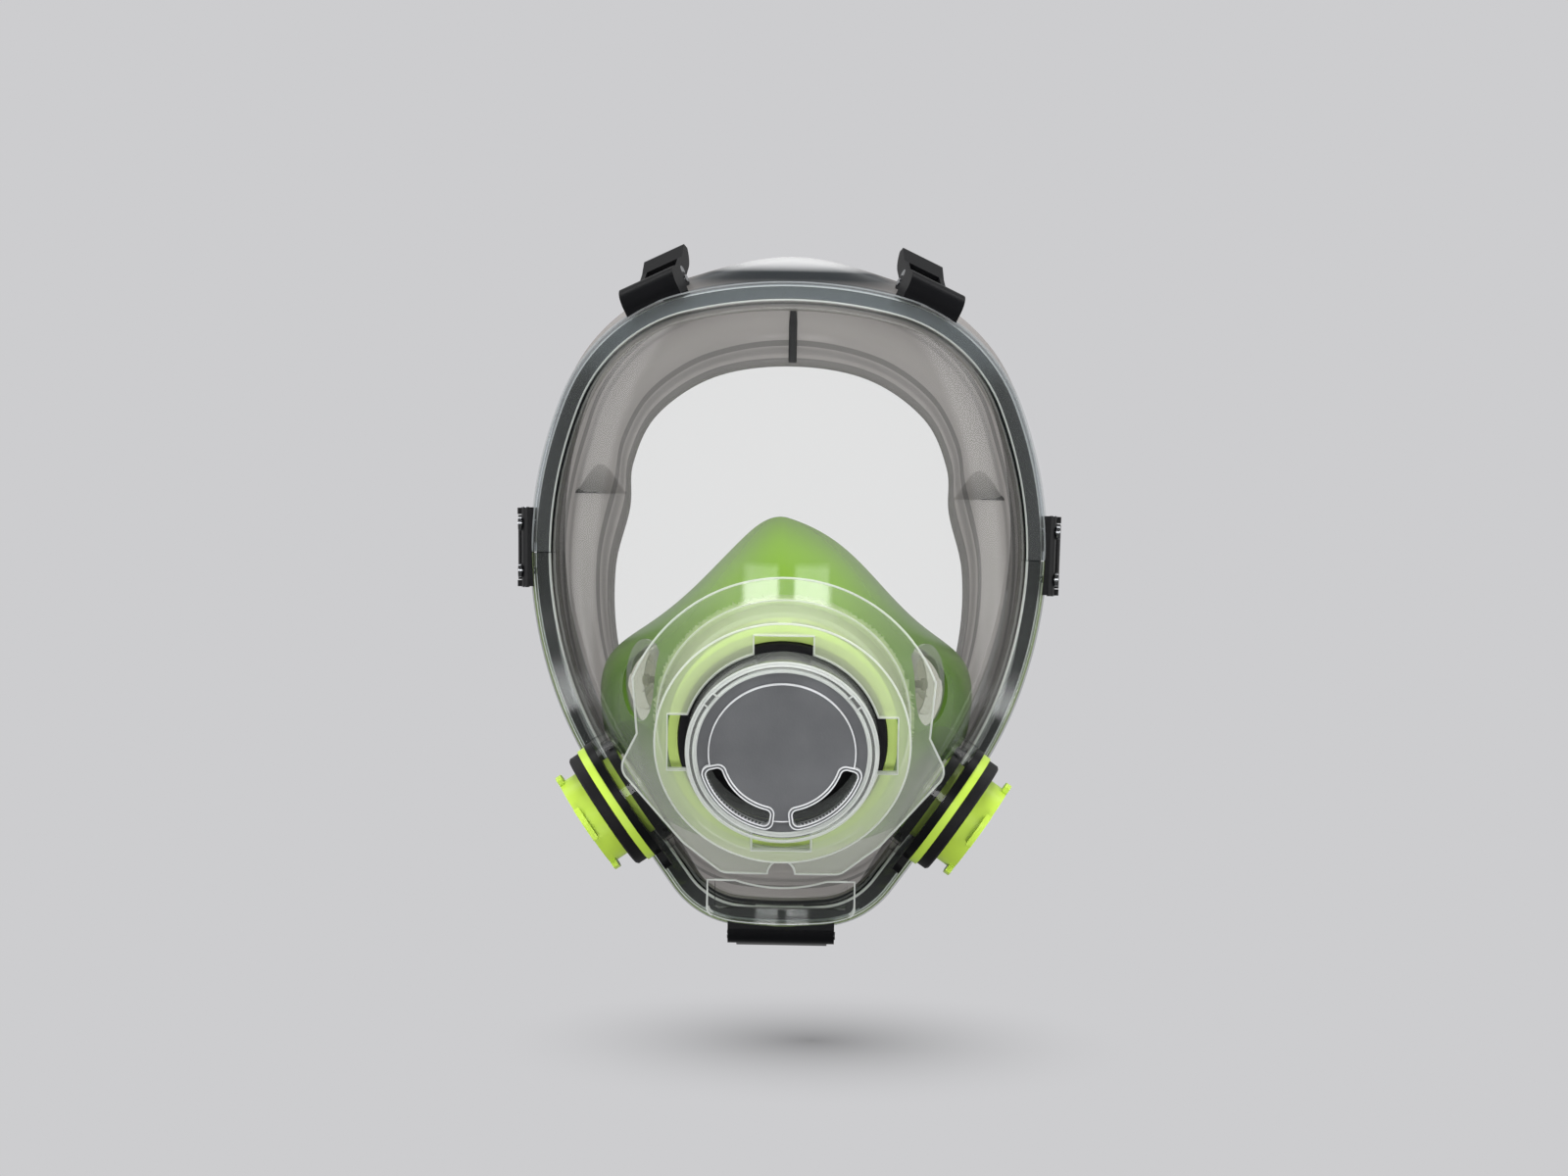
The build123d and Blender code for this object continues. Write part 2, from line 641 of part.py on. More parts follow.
def cap_ring():
    """Clear twist-off ring that holds the valve cover, with two stops on its face."""
    inner = CAP_RADIUS - CAP_WALL
    body = ring(CAP_RADIUS - CLEAR, inner, -CAP_HEIGHT, 0)
    body = chamfer(body.edges().filter_by(GeomType.CIRCLE).group_by(Axis.Z)[-1], 0.8)
    body += ring(inner + 0.4, inner - 1.6, -CAP_HEIGHT, -COVER_DISC_RECESS - COVER_DISC_THICK - CLEAR)
    for angle in (38, 142):
        stop = Box(CAP_WALL - 1.4, CAP_STOP_SIZE * 2, 1.2, align=(Align.CENTER, Align.CENTER, Align.MIN))
        body += Rot(0, 0, angle) * Pos(inner + CAP_WALL / 2 - 0.2, 0, -0.8) * stop
    return PORT * body


def valve_cover():
    """Dark grey cover disc with a raised centre and two kidney slots for the exhaled air."""
    top = -COVER_DISC_RECESS
    radius = CAP_RADIUS - CAP_WALL - FIT
    body = disc(radius, top - COVER_DISC_THICK, top)
    body += disc(COVER_DISC_RAISED, top - 0.1, top + COVER_DISC_STEP)
    sweep = KIDNEY_END - KIDNEY_START
    for start in (KIDNEY_START, 540 - KIDNEY_END):
        body += arc_bar(KIDNEY_INNER - 0.9, KIDNEY_OUTER + 0.9, start - 2.5, sweep + 5, top - 0.1, top + 1.1, 2.4)
        body -= arc_bar(KIDNEY_INNER, KIDNEY_OUTER, start, sweep, top - 5, top + 5, 1.8)
    return PORT * body


def valve_seat():
    """Seat plate with a spoked exhalation port below and a round window for the speech diaphragm."""
    plate = disc(HOUSING_BORE - CLEAR, SEAT_Z - SEAT_THICK, SEAT_Z)
    plate -= Pos(0, EXHALE_OFFSET, 0) * disc(EXHALE_RADIUS, SEAT_Z - 5, SEAT_Z + 5)
    plate += Pos(0, EXHALE_OFFSET, 0) * spokes(EXHALE_RADIUS + 0.3, SEAT_Z - SEAT_THICK, SEAT_Z - 0.6, 4)
    plate += Pos(0, EXHALE_OFFSET, 0) * ring(EXHALE_RADIUS + 1.4, EXHALE_RADIUS, SEAT_Z - 0.5, SEAT_Z + EXHALE_RIM)
    plate -= Pos(0, DIAPHRAGM_OFFSET, 0) * disc(DIAPHRAGM_RADIUS, SEAT_Z - 5, SEAT_Z + 5)
    return PORT * plate


def exhale_valve():
    """Silicone exhalation flap that lifts off its seat towards the cover."""
    bottom = SEAT_Z + EXHALE_RIM + 2 * FIT
    bulb = SEAT_Z - SEAT_THICK - FLAP_TRAVEL
    body = disc(EXHALE_RADIUS + FLAP_LAP, bottom, bottom + FILM_STIFF)
    body += disc(STEM_RADIUS, bulb, bottom)
    body += disc(STEM_RADIUS + BULB_LIP, bulb - BULB_HEIGHT, bulb)
    return PORT * Pos(0, EXHALE_OFFSET, 0) * body


def speech_diaphragm():
    """Thin film that carries speech, in its clamping ring."""
    body = ring(DIAPHRAGM_RADIUS + 1.6, DIAPHRAGM_RADIUS - 1.4, SEAT_Z + CLEAR / 6, SEAT_Z + 2.0)
    body += disc(DIAPHRAGM_RADIUS - 1.2, SEAT_Z + 0.8, SEAT_Z + 0.8 + FILM_THICK)
    return PORT * Pos(0, DIAPHRAGM_OFFSET, 0) * body


# ---------------------------------------------------------------- clear front cover
def cover_outline():
    """Front view of the cover: round brow, waist, two wings and a tapered foot."""
    crown = ThreePointArc((-COVER_TOP_RADIUS, -28), (0, COVER_TOP_Z), (COVER_TOP_RADIUS, -28))
    half = Polyline(
        (COVER_TOP_RADIUS, -28),
        (COVER_WAIST_X, COVER_WAIST_Z),
        (COVER_WING_X, COVER_WING_Z),
        (COVER_FOOT_X, COVER_FOOT_Z),
        (COVER_FOOT_X - 12, COVER_BOTTOM_Z),
        (0, COVER_BOTTOM_Z),
    )
    face = make_face(crown + half + mirror(half, Plane.YZ))
    wings = [v for v in face.vertices() if abs(abs(v.X) - COVER_WING_X) < 1]
    face = fillet(wings, COVER_CORNER)
    feet = [v for v in face.vertices() if v.Y < COVER_FOOT_Z + 1 and abs(v.X) > 1]
    return fillet(feet, COVER_CORNER)


def front_cover():
    """Clear cover clipped over the visor: a skin that hugs the lens and a collar around the port."""
    skin = lens_barrel(-COVER_GAP - COVER_WALL) - lens_barrel(-COVER_GAP)
    skin &= extrude(front_plane(-20) * cover_outline(), amount=100)
    collar_depth = BOSS_FACE - 12
    body = skin - PORT * disc(COVER_COLLAR - COVER_WALL, -60, 10)
    collar = ring(COVER_COLLAR, COVER_COLLAR - COVER_WALL, collar_depth, COVER_FACE)
    collar -= collar_trim()
    body += PORT * collar
    face = ring(COVER_COLLAR, COVER_BORE, COVER_FACE - COVER_FACE_THICK, COVER_FACE)
    for angle in (0, 90, 180, 270):
        slot = Box(6, COVER_SLOT_WIDTH, 8)
        face -= Rot(0, 0, angle) * Pos(COVER_SLOT_OUTER - 3, 0, COVER_FACE) * slot
    body += PORT * face
    notch = Pos(0, LENS_FRONT_Y, COVER_BOTTOM_Z) * Rot(90, 0, 0) * Cylinder(COVER_NOTCH, 80)
    return body - notch


def collar_trim():
    """Part of the collar that would reach through the skin to the lens, in the port's frame."""
    return PORT.inverse() * lens_barrel(-COVER_GAP)


# ---------------------------------------------------------------- filter ports
def filter_plate(side):
    """Black plate against the visor boss, with a thumb tab at its lower edge."""
    tab = fillet(make_face(Rectangle(PLATE_TAB_WIDTH, PLATE_TAB_REACH, align=(Align.CENTER, Align.MAX))).vertices(), 2.5)
    plate = ring(PLATE_RADIUS, FILTER_BARREL + FIT, FIT, PLATE_THICK)
    plate += Pos(0, 0, FIT) * extrude(tab, amount=PLATE_THICK - FIT)
    plate -= disc(FILTER_BARREL + FIT, -1, PLATE_THICK + 1)
    return filter_place(side) * plate


def filter_ring(side):
    """Lime clamp ring between the plate and the gasket."""
    body = ring(RING_RADIUS, FILTER_BARREL + FIT, PLATE_THICK, PLATE_THICK + RING_THICK)
    return filter_place(side) * body


def filter_gasket(side):
    """Black rubber gasket that the filter is pressed against."""
    bottom = PLATE_THICK + RING_THICK
    body = ring(GASKET_RADIUS, SPIGOT_RADIUS + FIT, bottom, bottom + GASKET_THICK)
    rim = body.edges().filter_by(GeomType.CIRCLE).group_by(Axis.Z)[-1]
    return filter_place(side) * chamfer(rim, 0.6)


def filter_spigot(side):
    """Lime bayonet spigot: barrel through the visor, bored nose, lugs and the spoked inhalation seat."""
    base = PLATE_THICK + RING_THICK
    top = base + GASKET_THICK + SPIGOT_HEIGHT
    bottom = -VISOR_WALL - FILTER_NUT_HEIGHT
    body = disc(FILTER_BARREL, bottom, base) + disc(SPIGOT_RADIUS, base, top)
    body -= disc(SEAT_BORE, bottom - 1, top + 1)
    body -= disc(FILTER_BORE, SEAT_STEP, top + 1)
    for i in range(LUG_COUNT):
        start = 90 - LUG_SWEEP / 2 + 360 * i / LUG_COUNT
        body += arc_bar(SPIGOT_RADIUS - 0.5, LUG_RADIUS, start, LUG_SWEEP, top - LUG_THICK, top, 0.4)
    body += spokes((SEAT_BORE + FILTER_BARREL) / 2, bottom, bottom + INHALE_SPOKE, 3)
    return filter_place(side) * body


def filter_nut(side):
    """Ring nut inside the visor that clamps the port's stack."""
    top = -VISOR_WALL
    nut = ring(FILTER_NUT, FILTER_BARREL + FIT, top - FILTER_NUT_HEIGHT, top)
    notch = Pos(FILTER_NUT, 0, top - FILTER_NUT_HEIGHT) * Box(NOTCH_DEPTH * 2, FILTER_NUT_NOTCH, FILTER_NUT_NOTCH)
    for i in range(FILTER_NUT_NOTCHES):
        nut -= Rot(0, 0, 360 * i / FILTER_NUT_NOTCHES) * notch
    return filter_place(side) * nut


def inhale_valve(side):
    """Silicone inhalation flap on the inner side of the spigot's seat."""
    bottom = -VISOR_WALL - FILTER_NUT_HEIGHT
    return filter_place(side) * flap_valve(SEAT_BORE + FLAP_LAP, bottom, bottom + INHALE_SPOKE)


# ---------------------------------------------------------------- buckles
def buckle_hood(name):
    """Bracket on the rim: a rounded hood with two ears for the pin."""
    angle, width, hood, lift, swivel, yaw = BUCKLES[name]
    place = buckle_place(name)
    front = -FRAME_FRONT
    rear = FRAME_REAR
    nose = TangentArc((HOOD_CREST_Y, hood), (front, HOOD_NOSE), tangent=(-1, 0))
    back = Polyline((HOOD_CREST_Y, hood), (rear, hood), (rear, HOOD_ROOT), (front, HOOD_ROOT), (front, HOOD_NOSE))
    body = extrude(Plane.YZ.offset(-width / 2) * make_face(nose + back), amount=width)
    for step in (-1, 1):
        x = step * (width - BUCKLE_EAR) / 2
        ear = Box(BUCKLE_EAR, PIN_Y - rear + 1, 2 * BARREL_RADIUS, align=(Align.CENTER, Align.MAX, Align.CENTER))
        body += Pos(x, PIN_Y, lift) * ear
        body += Pos(x, PIN_Y, lift) * Rot(0, 90, 0) * Cylinder(BARREL_RADIUS, BUCKLE_EAR)
    body -= Pos(0, PIN_Y, lift) * Rot(0, 90, 0) * Cylinder(PIN_RADIUS + FIT / 2, width + 2)
    if name in SCREWED:
        for step in (-1, 1):
            body -= Pos(step * SCREW_PITCH / 2, 0, 0) * disc(SCREW_RADIUS + FIT, HOOD_ROOT, hood + 1)
    return place * body - (body_prism(-CLEAR / 3) & rim_slab(-2 * FRAME_FRONT, rear + CLEAR))


def buckle_pin(name):
    """Steel pin through the bracket's ears."""
    angle, width, hood, lift, swivel, yaw = BUCKLES[name]
    return buckle_place(name) * Pos(0, PIN_Y, lift) * Rot(0, 90, 0) * Cylinder(PIN_RADIUS, width + 0.6)


def buckle_inner_width(width):
    """Clear width between the bracket's ears."""
    return width - 2 * BUCKLE_EAR - 2 * BUCKLE_SIDE_GAP


def swivel_place(name):
    """Frame of a buckle body on its pin, at its rest angle."""
    angle, width, hood, lift, swivel, yaw = BUCKLES[name]
    return buckle_place(name) * Pos(0, PIN_Y, lift) * Rot(swivel, 0, 0)


def buckle_body(name):
    """Buckle that swings on the pin: barrel, two rails, and a curved thumb flap."""
    width = buckle_inner_width(BUCKLES[name][1])
    body = Rot(0, 90, 0) * Cylinder(BARREL_RADIUS, width)
    for step in (-1, 1):
        rail = Pos(0, FLAP_Y / 2, 0) * Box(BUCKLE_RAIL, FLAP_Y + 2, RAIL_HEIGHT)
        body += Pos(step * (width - BUCKLE_RAIL) / 2, 0, 0) * rail
    bottom = -RAIL_HEIGHT / 2
    tip = (FLAP_Y + FLAP_LENGTH, bottom + FLAP_CURL)
    under = TangentArc((FLAP_Y, bottom), tip, tangent=(1, 0))
    over = Line((FLAP_Y, bottom + RAIL_HEIGHT), (tip[0] - FLAP_THICK / 2, tip[1] + FLAP_THICK))
    profile = make_face(under + Line(tip, over @ 1) + over + Line(over @ 0, under @ 0))
    body += extrude(Plane.YZ.offset(-width / 2) * profile, amount=width)
    body -= Rot(0, 90, 0) * Cylinder(PIN_RADIUS + FIT, width + 2)
    body -= Pos(0, ROLLER_Y, 0) * Rot(0, 90, 0) * Cylinder(ROLLER_RADIUS + FIT, width + 2)
    return swivel_place(name) * body


def buckle_roller(name):
    """Steel rod that turns in the buckle's rails, which the strap runs round."""
    width = buckle_inner_width(BUCKLES[name][1])
    return swivel_place(name) * Pos(0, ROLLER_Y, 0) * Rot(0, 90, 0) * Cylinder(ROLLER_RADIUS, width)


def frame_screws():
    """Four screws that hold the side brackets and join the frame halves."""
    hood = BUCKLES["side_left"][2]
    screw = disc(SCREW_RADIUS, -FRAME_WALL + FIT, hood) + disc(SCREW_HEAD, hood, hood + SCREW_HEAD_HEIGHT)
    return [
        buckle_place(name) * Pos(step * SCREW_PITCH / 2, 0, 0) * screw
        for name in SCREWED
        for step in (-1, 1)
    ]


# ---------------------------------------------------------------- write the parts
def build():
    """Every sub-part by node name."""
    channel = frame_ring()
    parts = {
        "visor": visor(),
        "frame_upper": frame_half(channel, True),
        "frame_lower": frame_half(channel, False),
        "frame_screws": Compound(children=frame_screws()),
        "face_seal": face_seal(),
        "nose_cup": nose_cup(),
        "port_housing": port_housing(),
        "port_nut": port_nut(),
        "port_sleeve": port_sleeve(),
        "cap_ring": cap_ring(),
        "valve_cover": valve_cover(),
        "valve_seat": valve_seat(),
        "exhale_valve": exhale_valve(),
        "speech_diaphragm": speech_diaphragm(),
        "front_cover": front_cover(),
    }
    for side, word in ((1, "left"), (-1, "right")):
        parts["check_seat_" + word] = check_seat(side)
        parts["check_valve_" + word] = check_valve(side)
        parts["filter_plate_" + word] = filter_plate(side)
        parts["filter_ring_" + word] = filter_ring(side)
        parts["filter_gasket_" + word] = filter_gasket(side)
        parts["filter_spigot_" + word] = filter_spigot(side)
        parts["filter_nut_" + word] = filter_nut(side)
        parts["inhale_valve_" + word] = inhale_valve(side)
    for name in BUCKLES:
        parts["buckle_hood_" + name] = buckle_hood(name)
        parts["buckle_pin_" + name] = buckle_pin(name)
        parts["buckle_body_" + name] = buckle_body(name)
        parts["buckle_roller_" + name] = buckle_roller(name)
    return parts


os.makedirs("parts", exist_ok=True)
for node, shape in build().items():
    export_step(shape, "parts/" + node + ".step")
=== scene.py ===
import math

import bmesh
import bpy
from mathutils import Matrix, Vector


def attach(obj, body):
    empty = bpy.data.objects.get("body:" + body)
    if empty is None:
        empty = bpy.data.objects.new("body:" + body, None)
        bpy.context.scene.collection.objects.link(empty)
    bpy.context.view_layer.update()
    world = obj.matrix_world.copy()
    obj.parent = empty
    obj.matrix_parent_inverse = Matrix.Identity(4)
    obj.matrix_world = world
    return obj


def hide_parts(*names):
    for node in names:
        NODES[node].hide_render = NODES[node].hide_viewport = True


# Looks of the full-face respirator. Metres; +Z is up, -Y is the front, +X is the wearer's left.
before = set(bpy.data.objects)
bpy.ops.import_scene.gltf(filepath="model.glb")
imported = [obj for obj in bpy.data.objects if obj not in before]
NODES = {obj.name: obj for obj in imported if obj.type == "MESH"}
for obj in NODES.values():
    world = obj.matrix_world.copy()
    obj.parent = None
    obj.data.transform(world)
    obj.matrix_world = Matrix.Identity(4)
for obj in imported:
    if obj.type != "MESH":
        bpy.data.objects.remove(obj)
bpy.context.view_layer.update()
SIDES = ("left", "right")
BUCKLES = ("top_left", "top_right", "side_left", "side_right", "chin")

# ---- Camera, as the photograph was taken ----
CAMERA_DISTANCE = 1.80
CAMERA_AZIMUTH = math.radians(0.5)
CAMERA_ROLL = math.radians(1.0)
CAMERA_LENS, CAMERA_SENSOR = 130.6, 36.0
CAMERA_CLIP = (0.05, 20.0)
AIM = Vector((-0.0012, 0.0, 0.0))

# ---- Studio ----
BACKDROP = (0.610, 0.610, 0.624)
# Painted sheen: the backdrop seen through two or more clear walls is lighter
BACKDROP_THROUGH_SHEEN = (0.80, 0.80, 0.805)
SEEN_THROUGH = 1.5
FILL, FILL_STRENGTH = (0.80, 0.81, 0.83), 0.55
FLOOR_SIZE, FLOOR_Z = 2.0, -0.143
SHADOW_CENTRE = (0.010, 0.0)
SHADOW_REACH = (0.105, 0.24)
SHADOW_SHARE, SHADOW_TONE = 0.62, (0.05, 0.05, 0.05)
LAYERS_SEEN = 40

# What the glossy pieces mirror, by direction: a faint front, a lit back, a ring to the sides and above,
# and two windows in front. Each pair holds where a band rises from nothing to full.
MIRROR_FRONT = 0.10
MIRROR_BACK = (0.35, 0.60, 0.38)
MIRROR_RING = ((0.02, 0.12), (0.26, 0.42))
MIRROR_STRENGTH = 3.6
MIRROR_RISE = (-0.75, 0.10, 1.0)
WINDOW_X = ((0.04, 0.08), (0.28, 0.34))
WINDOW_Y = (-0.2, -0.5)
WINDOW_Z = ((0.00, 0.03), (0.17, 0.22))
WINDOW_STRENGTH = 9.0

# Soft boxes: name, place, what it points at, width and height, power
LAMPS = (
    ("key_box", (-0.75, -1.1, 0.75), (0, 0, 0), (0.7, 0.7), 13.0),
    ("side_box", (1.1, -0.7, 0.25), (0, 0, 0), (0.5, 0.9), 8.0),
    ("top_box", (0.0, -0.25, 1.1), (0, -0.03, 0), (0.9, 0.5), 15.0),
    ("back_box", (0.0, 1.0, 0.3), (0, 0, 0), (1.0, 0.8), 7.0),
    ("low_box", (0.1, -1.1, -0.8), (0, 0, -0.05), (0.6, 0.5), 10.0),
)

# ---- Rim of the facepiece: the same arcs as the CAD part's ----
RIM_TOP = 0.1015
OUTLINE_ARCS = ((0.1330, 15.7), (0.0573, 55.8), (0.1416, 51.7))
JAW_ANGLE = sum(sweep for _, sweep in OUTLINE_ARCS)
JAW_FLAT = 0.0393
CHIN_RADIUS = 0.0319
CHIN_SWEEP = 50.3
OUTLINE_Y = 0.008
DRAFT_GROWTH = math.tan(math.radians(7.5))
TEMPLE_Y = 0.006
BROW_REACH = 0.050
CHIN_REACH = 0.046
CHIN_SHARPNESS = 2.5
RIM_CENTRE_Z = -0.002
RIM_BLEND = 0.020
DRAFT_PASSES = 4
FLAT_TURN, FLAT_STEPS = 124, 20

# ---- Face seal: rim angle, place on the jaw's flat, flare, opening edge x and z ----
SEAL_STATIONS = (
    (0.0, 0.0, 0.0085, 0.0, 0.0690),
    (14.0, 0.0, 0.0053, 0.0240, 0.0655),
    (32.0, 0.0, 0.0034, 0.0420, 0.0535),
    (52.0, 0.0, 0.0022, 0.0496, 0.0380),
    (72.0, 0.0, 0.0008, 0.0506, 0.0240),
    (90.0, 0.0, -0.0005, 0.0555, 0.0060),
    (108.0, 0.0, -0.0005, 0.0550, -0.0160),
    (123.2, 0.0, -0.0006, 0.0490, -0.0380),
    (123.2, 1.0, -0.0010, 0.0350, -0.0640),
    (150.0, 1.0, -0.0016, 0.0200, -0.0730),
    (180.0, 1.0, -0.0018, 0.0, -0.0760),
)
STATION_STEPS = 10

# Section of its skirt: share of the flare, distance out from the rim and depth behind it; then, on the lip,
# the share of the way from the rear roll to the opening's edge and the depth behind the rim
SKIRT_WALL = (
    (0.0, -0.0076, 0.0012),
    (0.0, -0.0076, 0.0060),
    (0.45, -0.0040, 0.0122),
    (1.0, -0.0013, 0.0185),
    (1.0, -0.0016, 0.0232),
    (1.0, -0.0050, 0.0255),
)
SKIRT_LIP = ((0.18, 0.0252), (0.42, 0.0226), (0.66, 0.0243), (0.975, 0.0222))
SKIRT_STEPS = 5
ROLL_INSET = 0.004
SEAL_HALF_WALL = 0.0009
SWELL_FROM, EDGE_SWELL = 0.93, 0.0007
# Darker silicone at the opening's thick rolled edge, and painted shade in two bands where the lip folds
EDGE_FROM, FOLD_SHADE_BANDS = 0.965, ((0.68, 0.70), (0.90, 0.92))

# Ribs on the lip: one down the brow, and a bell-shaped web at each temple
RIB_STEPS, RIB_START, RIB_LENGTH = 6, 0.05, 0.9
RIB_DEPTH, RIB_CLIMB = 0.0252, 0.003
RIB_SHIFT = (0.0004, -0.0012, 0)
RIB_HALF, RIB_RISE, RIB_TOP = 0.0013, 0.0014, 0.6
WEB_OUTER, WEB_INNER, WEB_STEPS = 0.0685, 0.0525, 10
WEB_BASE, WEB_HEIGHT, WEB_Y = 0.0292, 0.0088, 0.0196
WEB_BELL, WEB_FOOT, WEB_BULGE = 1.4, 0.0006, 0.0022
WEB_THICK, WEB_TAPER = 0.0012, 0.0008
RIB_SHARP = math.radians(45)

# ---- Seal's dark bead in the frame: rim angle and jaw share added up, and how far in it reaches ----
BEAD_OUTER = 0.0017
BEAD_DEPTHS = (0.0003, 0.0026)
BEAD_REACH = (
    (0.0, 0.0052),
    (40.0, 0.0058),
    (75.0, 0.0074),
    (92.0, 0.0066),
    (112.0, 0.0040),
    (134.0, 0.0034),
    (154.0, 0.0080),
    (211.0, 0.0080),
)
JAW_SHARE = 30.0
BEAD_SHARP = math.radians(40)

# ---- Mouth port: its axis, then which faces and edges of its pieces are picked, as the radius from that
# axis and the height along it where they start or end ----
PORT_TILT = math.radians(20.0)
PORT_ORIGIN = Vector((0.0, -0.104, -0.0495))
PORT_AXIS = Vector((0.0, -math.cos(PORT_TILT), -math.sin(PORT_TILT)))
SKIN_RADIUS = 0.039
SLOT_RADIUS, SLOT_HEIGHT = 0.0362, -0.0102
COLLAR_RADIUS, COLLAR_FOOT = 0.0392, -0.032
DISC_RADIUS, DISC_HEIGHT = 0.0256, -0.0014
CAP_RADIUS, CAP_HEIGHT, CHAMFER_HEIGHT = 0.0262, -0.0034, -0.0012
HOUSING_BORE = 0.0290
COVER_LINE_RADIUS, COVER_LINE_HEIGHT = 0.0300, -0.0105
CAP_LINE_HEIGHT = -0.0035
DISC_LINE_RADIUS, DISC_LINE_HEIGHT = 0.0254, -0.0013

# How far a face turns, as the part of its normal that lies along an axis
EDGEWISE = 0.08
WALL_SLANT, ROOF_SLANT, LIP_SLANT = 0.3, 0.6, 0.7
CHAMFER_SLANT = (0.2, 0.95)
FRONT_SLANT, CORNER_SLANT, ACROSS_SLANT = 0.25, 0.7, 0.9
INWARD_SLANT, LENS_MIDDLE_Z = 0.5, -0.01

# ---- Visor's chin ledge, and the frame's channel ----
LEDGE_TOP, LEDGE_FOOT = -0.0880, -0.0985
LEDGE_FRONT, LEDGE_HALF = -0.0612, 0.0235
SPLIT_X = 0.06
CHANNEL_DEPTH = 0.0075
INSET_SPLIT = 0.0050
SHARP = math.radians(32)
SAME_PLACE = 1e-6

# ---- Painted light on the seal's upper roll: a painted dark band of shade by height, and where the roll's crest ends it ----
CROWN_SHADE_BAND = ((0.0965, (0.10, 0.115, 0.13)), (0.0995, (0.10, 0.115, 0.13)))
CREST_Y, CREST_FADE = -0.0225, 0.0070

# ---- Colours, linear; the cup's painted flank shade is full at CUP_WIDTH from the middle ----
CUP_FLANK_SHADE, CUP_WIDTH = (0.075, 0.165, 0.012), 0.046
LIME = (0.43, 0.61, 0.060)
LIME_UNDER = (0.36, 0.47, 0.12)
CUP_GREEN = (0.150, 0.290, 0.020)
BLACK = (0.0045, 0.0046, 0.0052)
RUBBER = (0.007, 0.0065, 0.0078)
DISC_GREY = (0.092, 0.094, 0.099)
STEEL = (0.42, 0.43, 0.45)

# ---- Scale of each material's texture, and shares of its mixes ----
MOULDED_TONE, SILICONE_TONE, STEEL_LINES = 60.0, 35.0, 300.0
SILICONE_RELIEF, CLEAR_RELIEF, CUP_GRAIN = 60.0, 25.0, 700.0
MILK_DIFFUSE, BACKLIT = 0.55, 0.45
PLASTIC_IOR = 1.5


# ---------------------------------------------------------------- materials
def new_material(name):
    """Empty node material with its output node."""
    mat = bpy.data.materials.new(name)
    mat.use_nodes = True
    tree = mat.node_tree
    tree.nodes.clear()
    output = tree.nodes.new("ShaderNodeOutputMaterial")
    return mat, tree, output


def node(tree, kind, **values):
    """Adds a node and sets its input values; words with underscores stand for socket names with spaces."""
    made = tree.nodes.new(kind)
    for key, value in values.items():
        made.inputs[key.replace("_", " ")].default_value = value
    return made


def rgba(colour):
    """Opaque colour with the fourth value that sockets ask for."""
    return (*colour, 1.0)


def reckon(tree, operation, first, second=None):
    """Result of a maths operation on an output and, if given, a second output or a number."""
    made = tree.nodes.new("ShaderNodeMath")
    made.operation = operation
    tree.links.new(first, made.inputs[0])
    if isinstance(second, float):
        made.inputs[1].default_value = second
    elif second:
        tree.links.new(second, made.inputs[1])
    return made.outputs["Value"]


def noise(tree, scale, detail=4.0):
    """Noise on the object's own coordinates."""
    coordinates = tree.nodes.new("ShaderNodeTexCoord")
    texture = node(tree, "ShaderNodeTexNoise", Scale=scale, Detail=detail)
    tree.links.new(coordinates.outputs["Object"], texture.inputs["Vector"])
    return texture


def ramp(tree, source, low, high, first=0.3, last=0.7):
    """Colour ramp from low to high over a value."""
    made = tree.nodes.new("ShaderNodeValToRGB")
    made.color_ramp.elements[0].position = first
    made.color_ramp.elements[0].color = rgba(low)
    made.color_ramp.elements[1].position = last
    made.color_ramp.elements[1].color = rgba(high)
    tree.links.new(source, made.inputs["Fac"])
    return made


def smooth_band(tree, source, low, high, strength):
    """Value that rises smoothly from 0 to strength between low and high."""
    made = node(tree, "ShaderNodeMapRange")
    made.interpolation_type = "SMOOTHSTEP"
    made.inputs["From Min"].default_value = low
    made.inputs["From Max"].default_value = high
    made.inputs["To Max"].default_value = strength
    tree.links.new(source, made.inputs["Value"])
    return made.outputs["Result"]


def bump(tree, source, shader, strength, distance=0.0002):
    """Small relief from a texture."""
    made = node(tree, "ShaderNodeBump", Strength=strength, Distance=distance)
    tree.links.new(source, made.inputs["Height"])
    tree.links.new(made.outputs["Normal"], shader.inputs["Normal"])


def mix_shaders(tree, share, first, second):
    """Mix of two shaders; share is a number or an output."""
    made = tree.nodes.new("ShaderNodeMixShader")
    if isinstance(share, float):
        made.inputs["Fac"].default_value = share
    else:
        tree.links.new(share, made.inputs["Fac"])
    tree.links.new(first.outputs[0], made.inputs[1])
    tree.links.new(second.outputs[0], made.inputs[2])
    return made


def moulded(name, colour, roughness, grain=900.0, relief=0.12, spread=0.12, **extra):
    """Opaque moulded plastic or rubber with a fine grain and slight unevenness of tone."""
    mat, tree, output = new_material(name)
    shader = node(tree, "ShaderNodeBsdfPrincipled", Roughness=roughness, **extra)
    tone = noise(tree, MOULDED_TONE)
    low = [c * (1 - spread) for c in colour]
    high = [c * (1 + spread) for c in colour]
    shade = ramp(tree, tone.outputs["Fac"], low, high)
    tree.links.new(shade.outputs["Color"], shader.inputs["Base Color"])
    bump(tree, noise(tree, grain, 2.0).outputs["Fac"], shader, relief)
    tree.links.new(shader.outputs["BSDF"], output.inputs["Surface"])
    return mat


def coordinate(tree, axis, source="Object"):
    """One coordinate of the place, or for the world of the direction, that is shaded."""
    place = tree.nodes.new("ShaderNodeTexCoord")
    axes = tree.nodes.new("ShaderNodeSeparateXYZ")
    tree.links.new(place.outputs[source], axes.inputs["Vector"])
    return axes.outputs[axis]


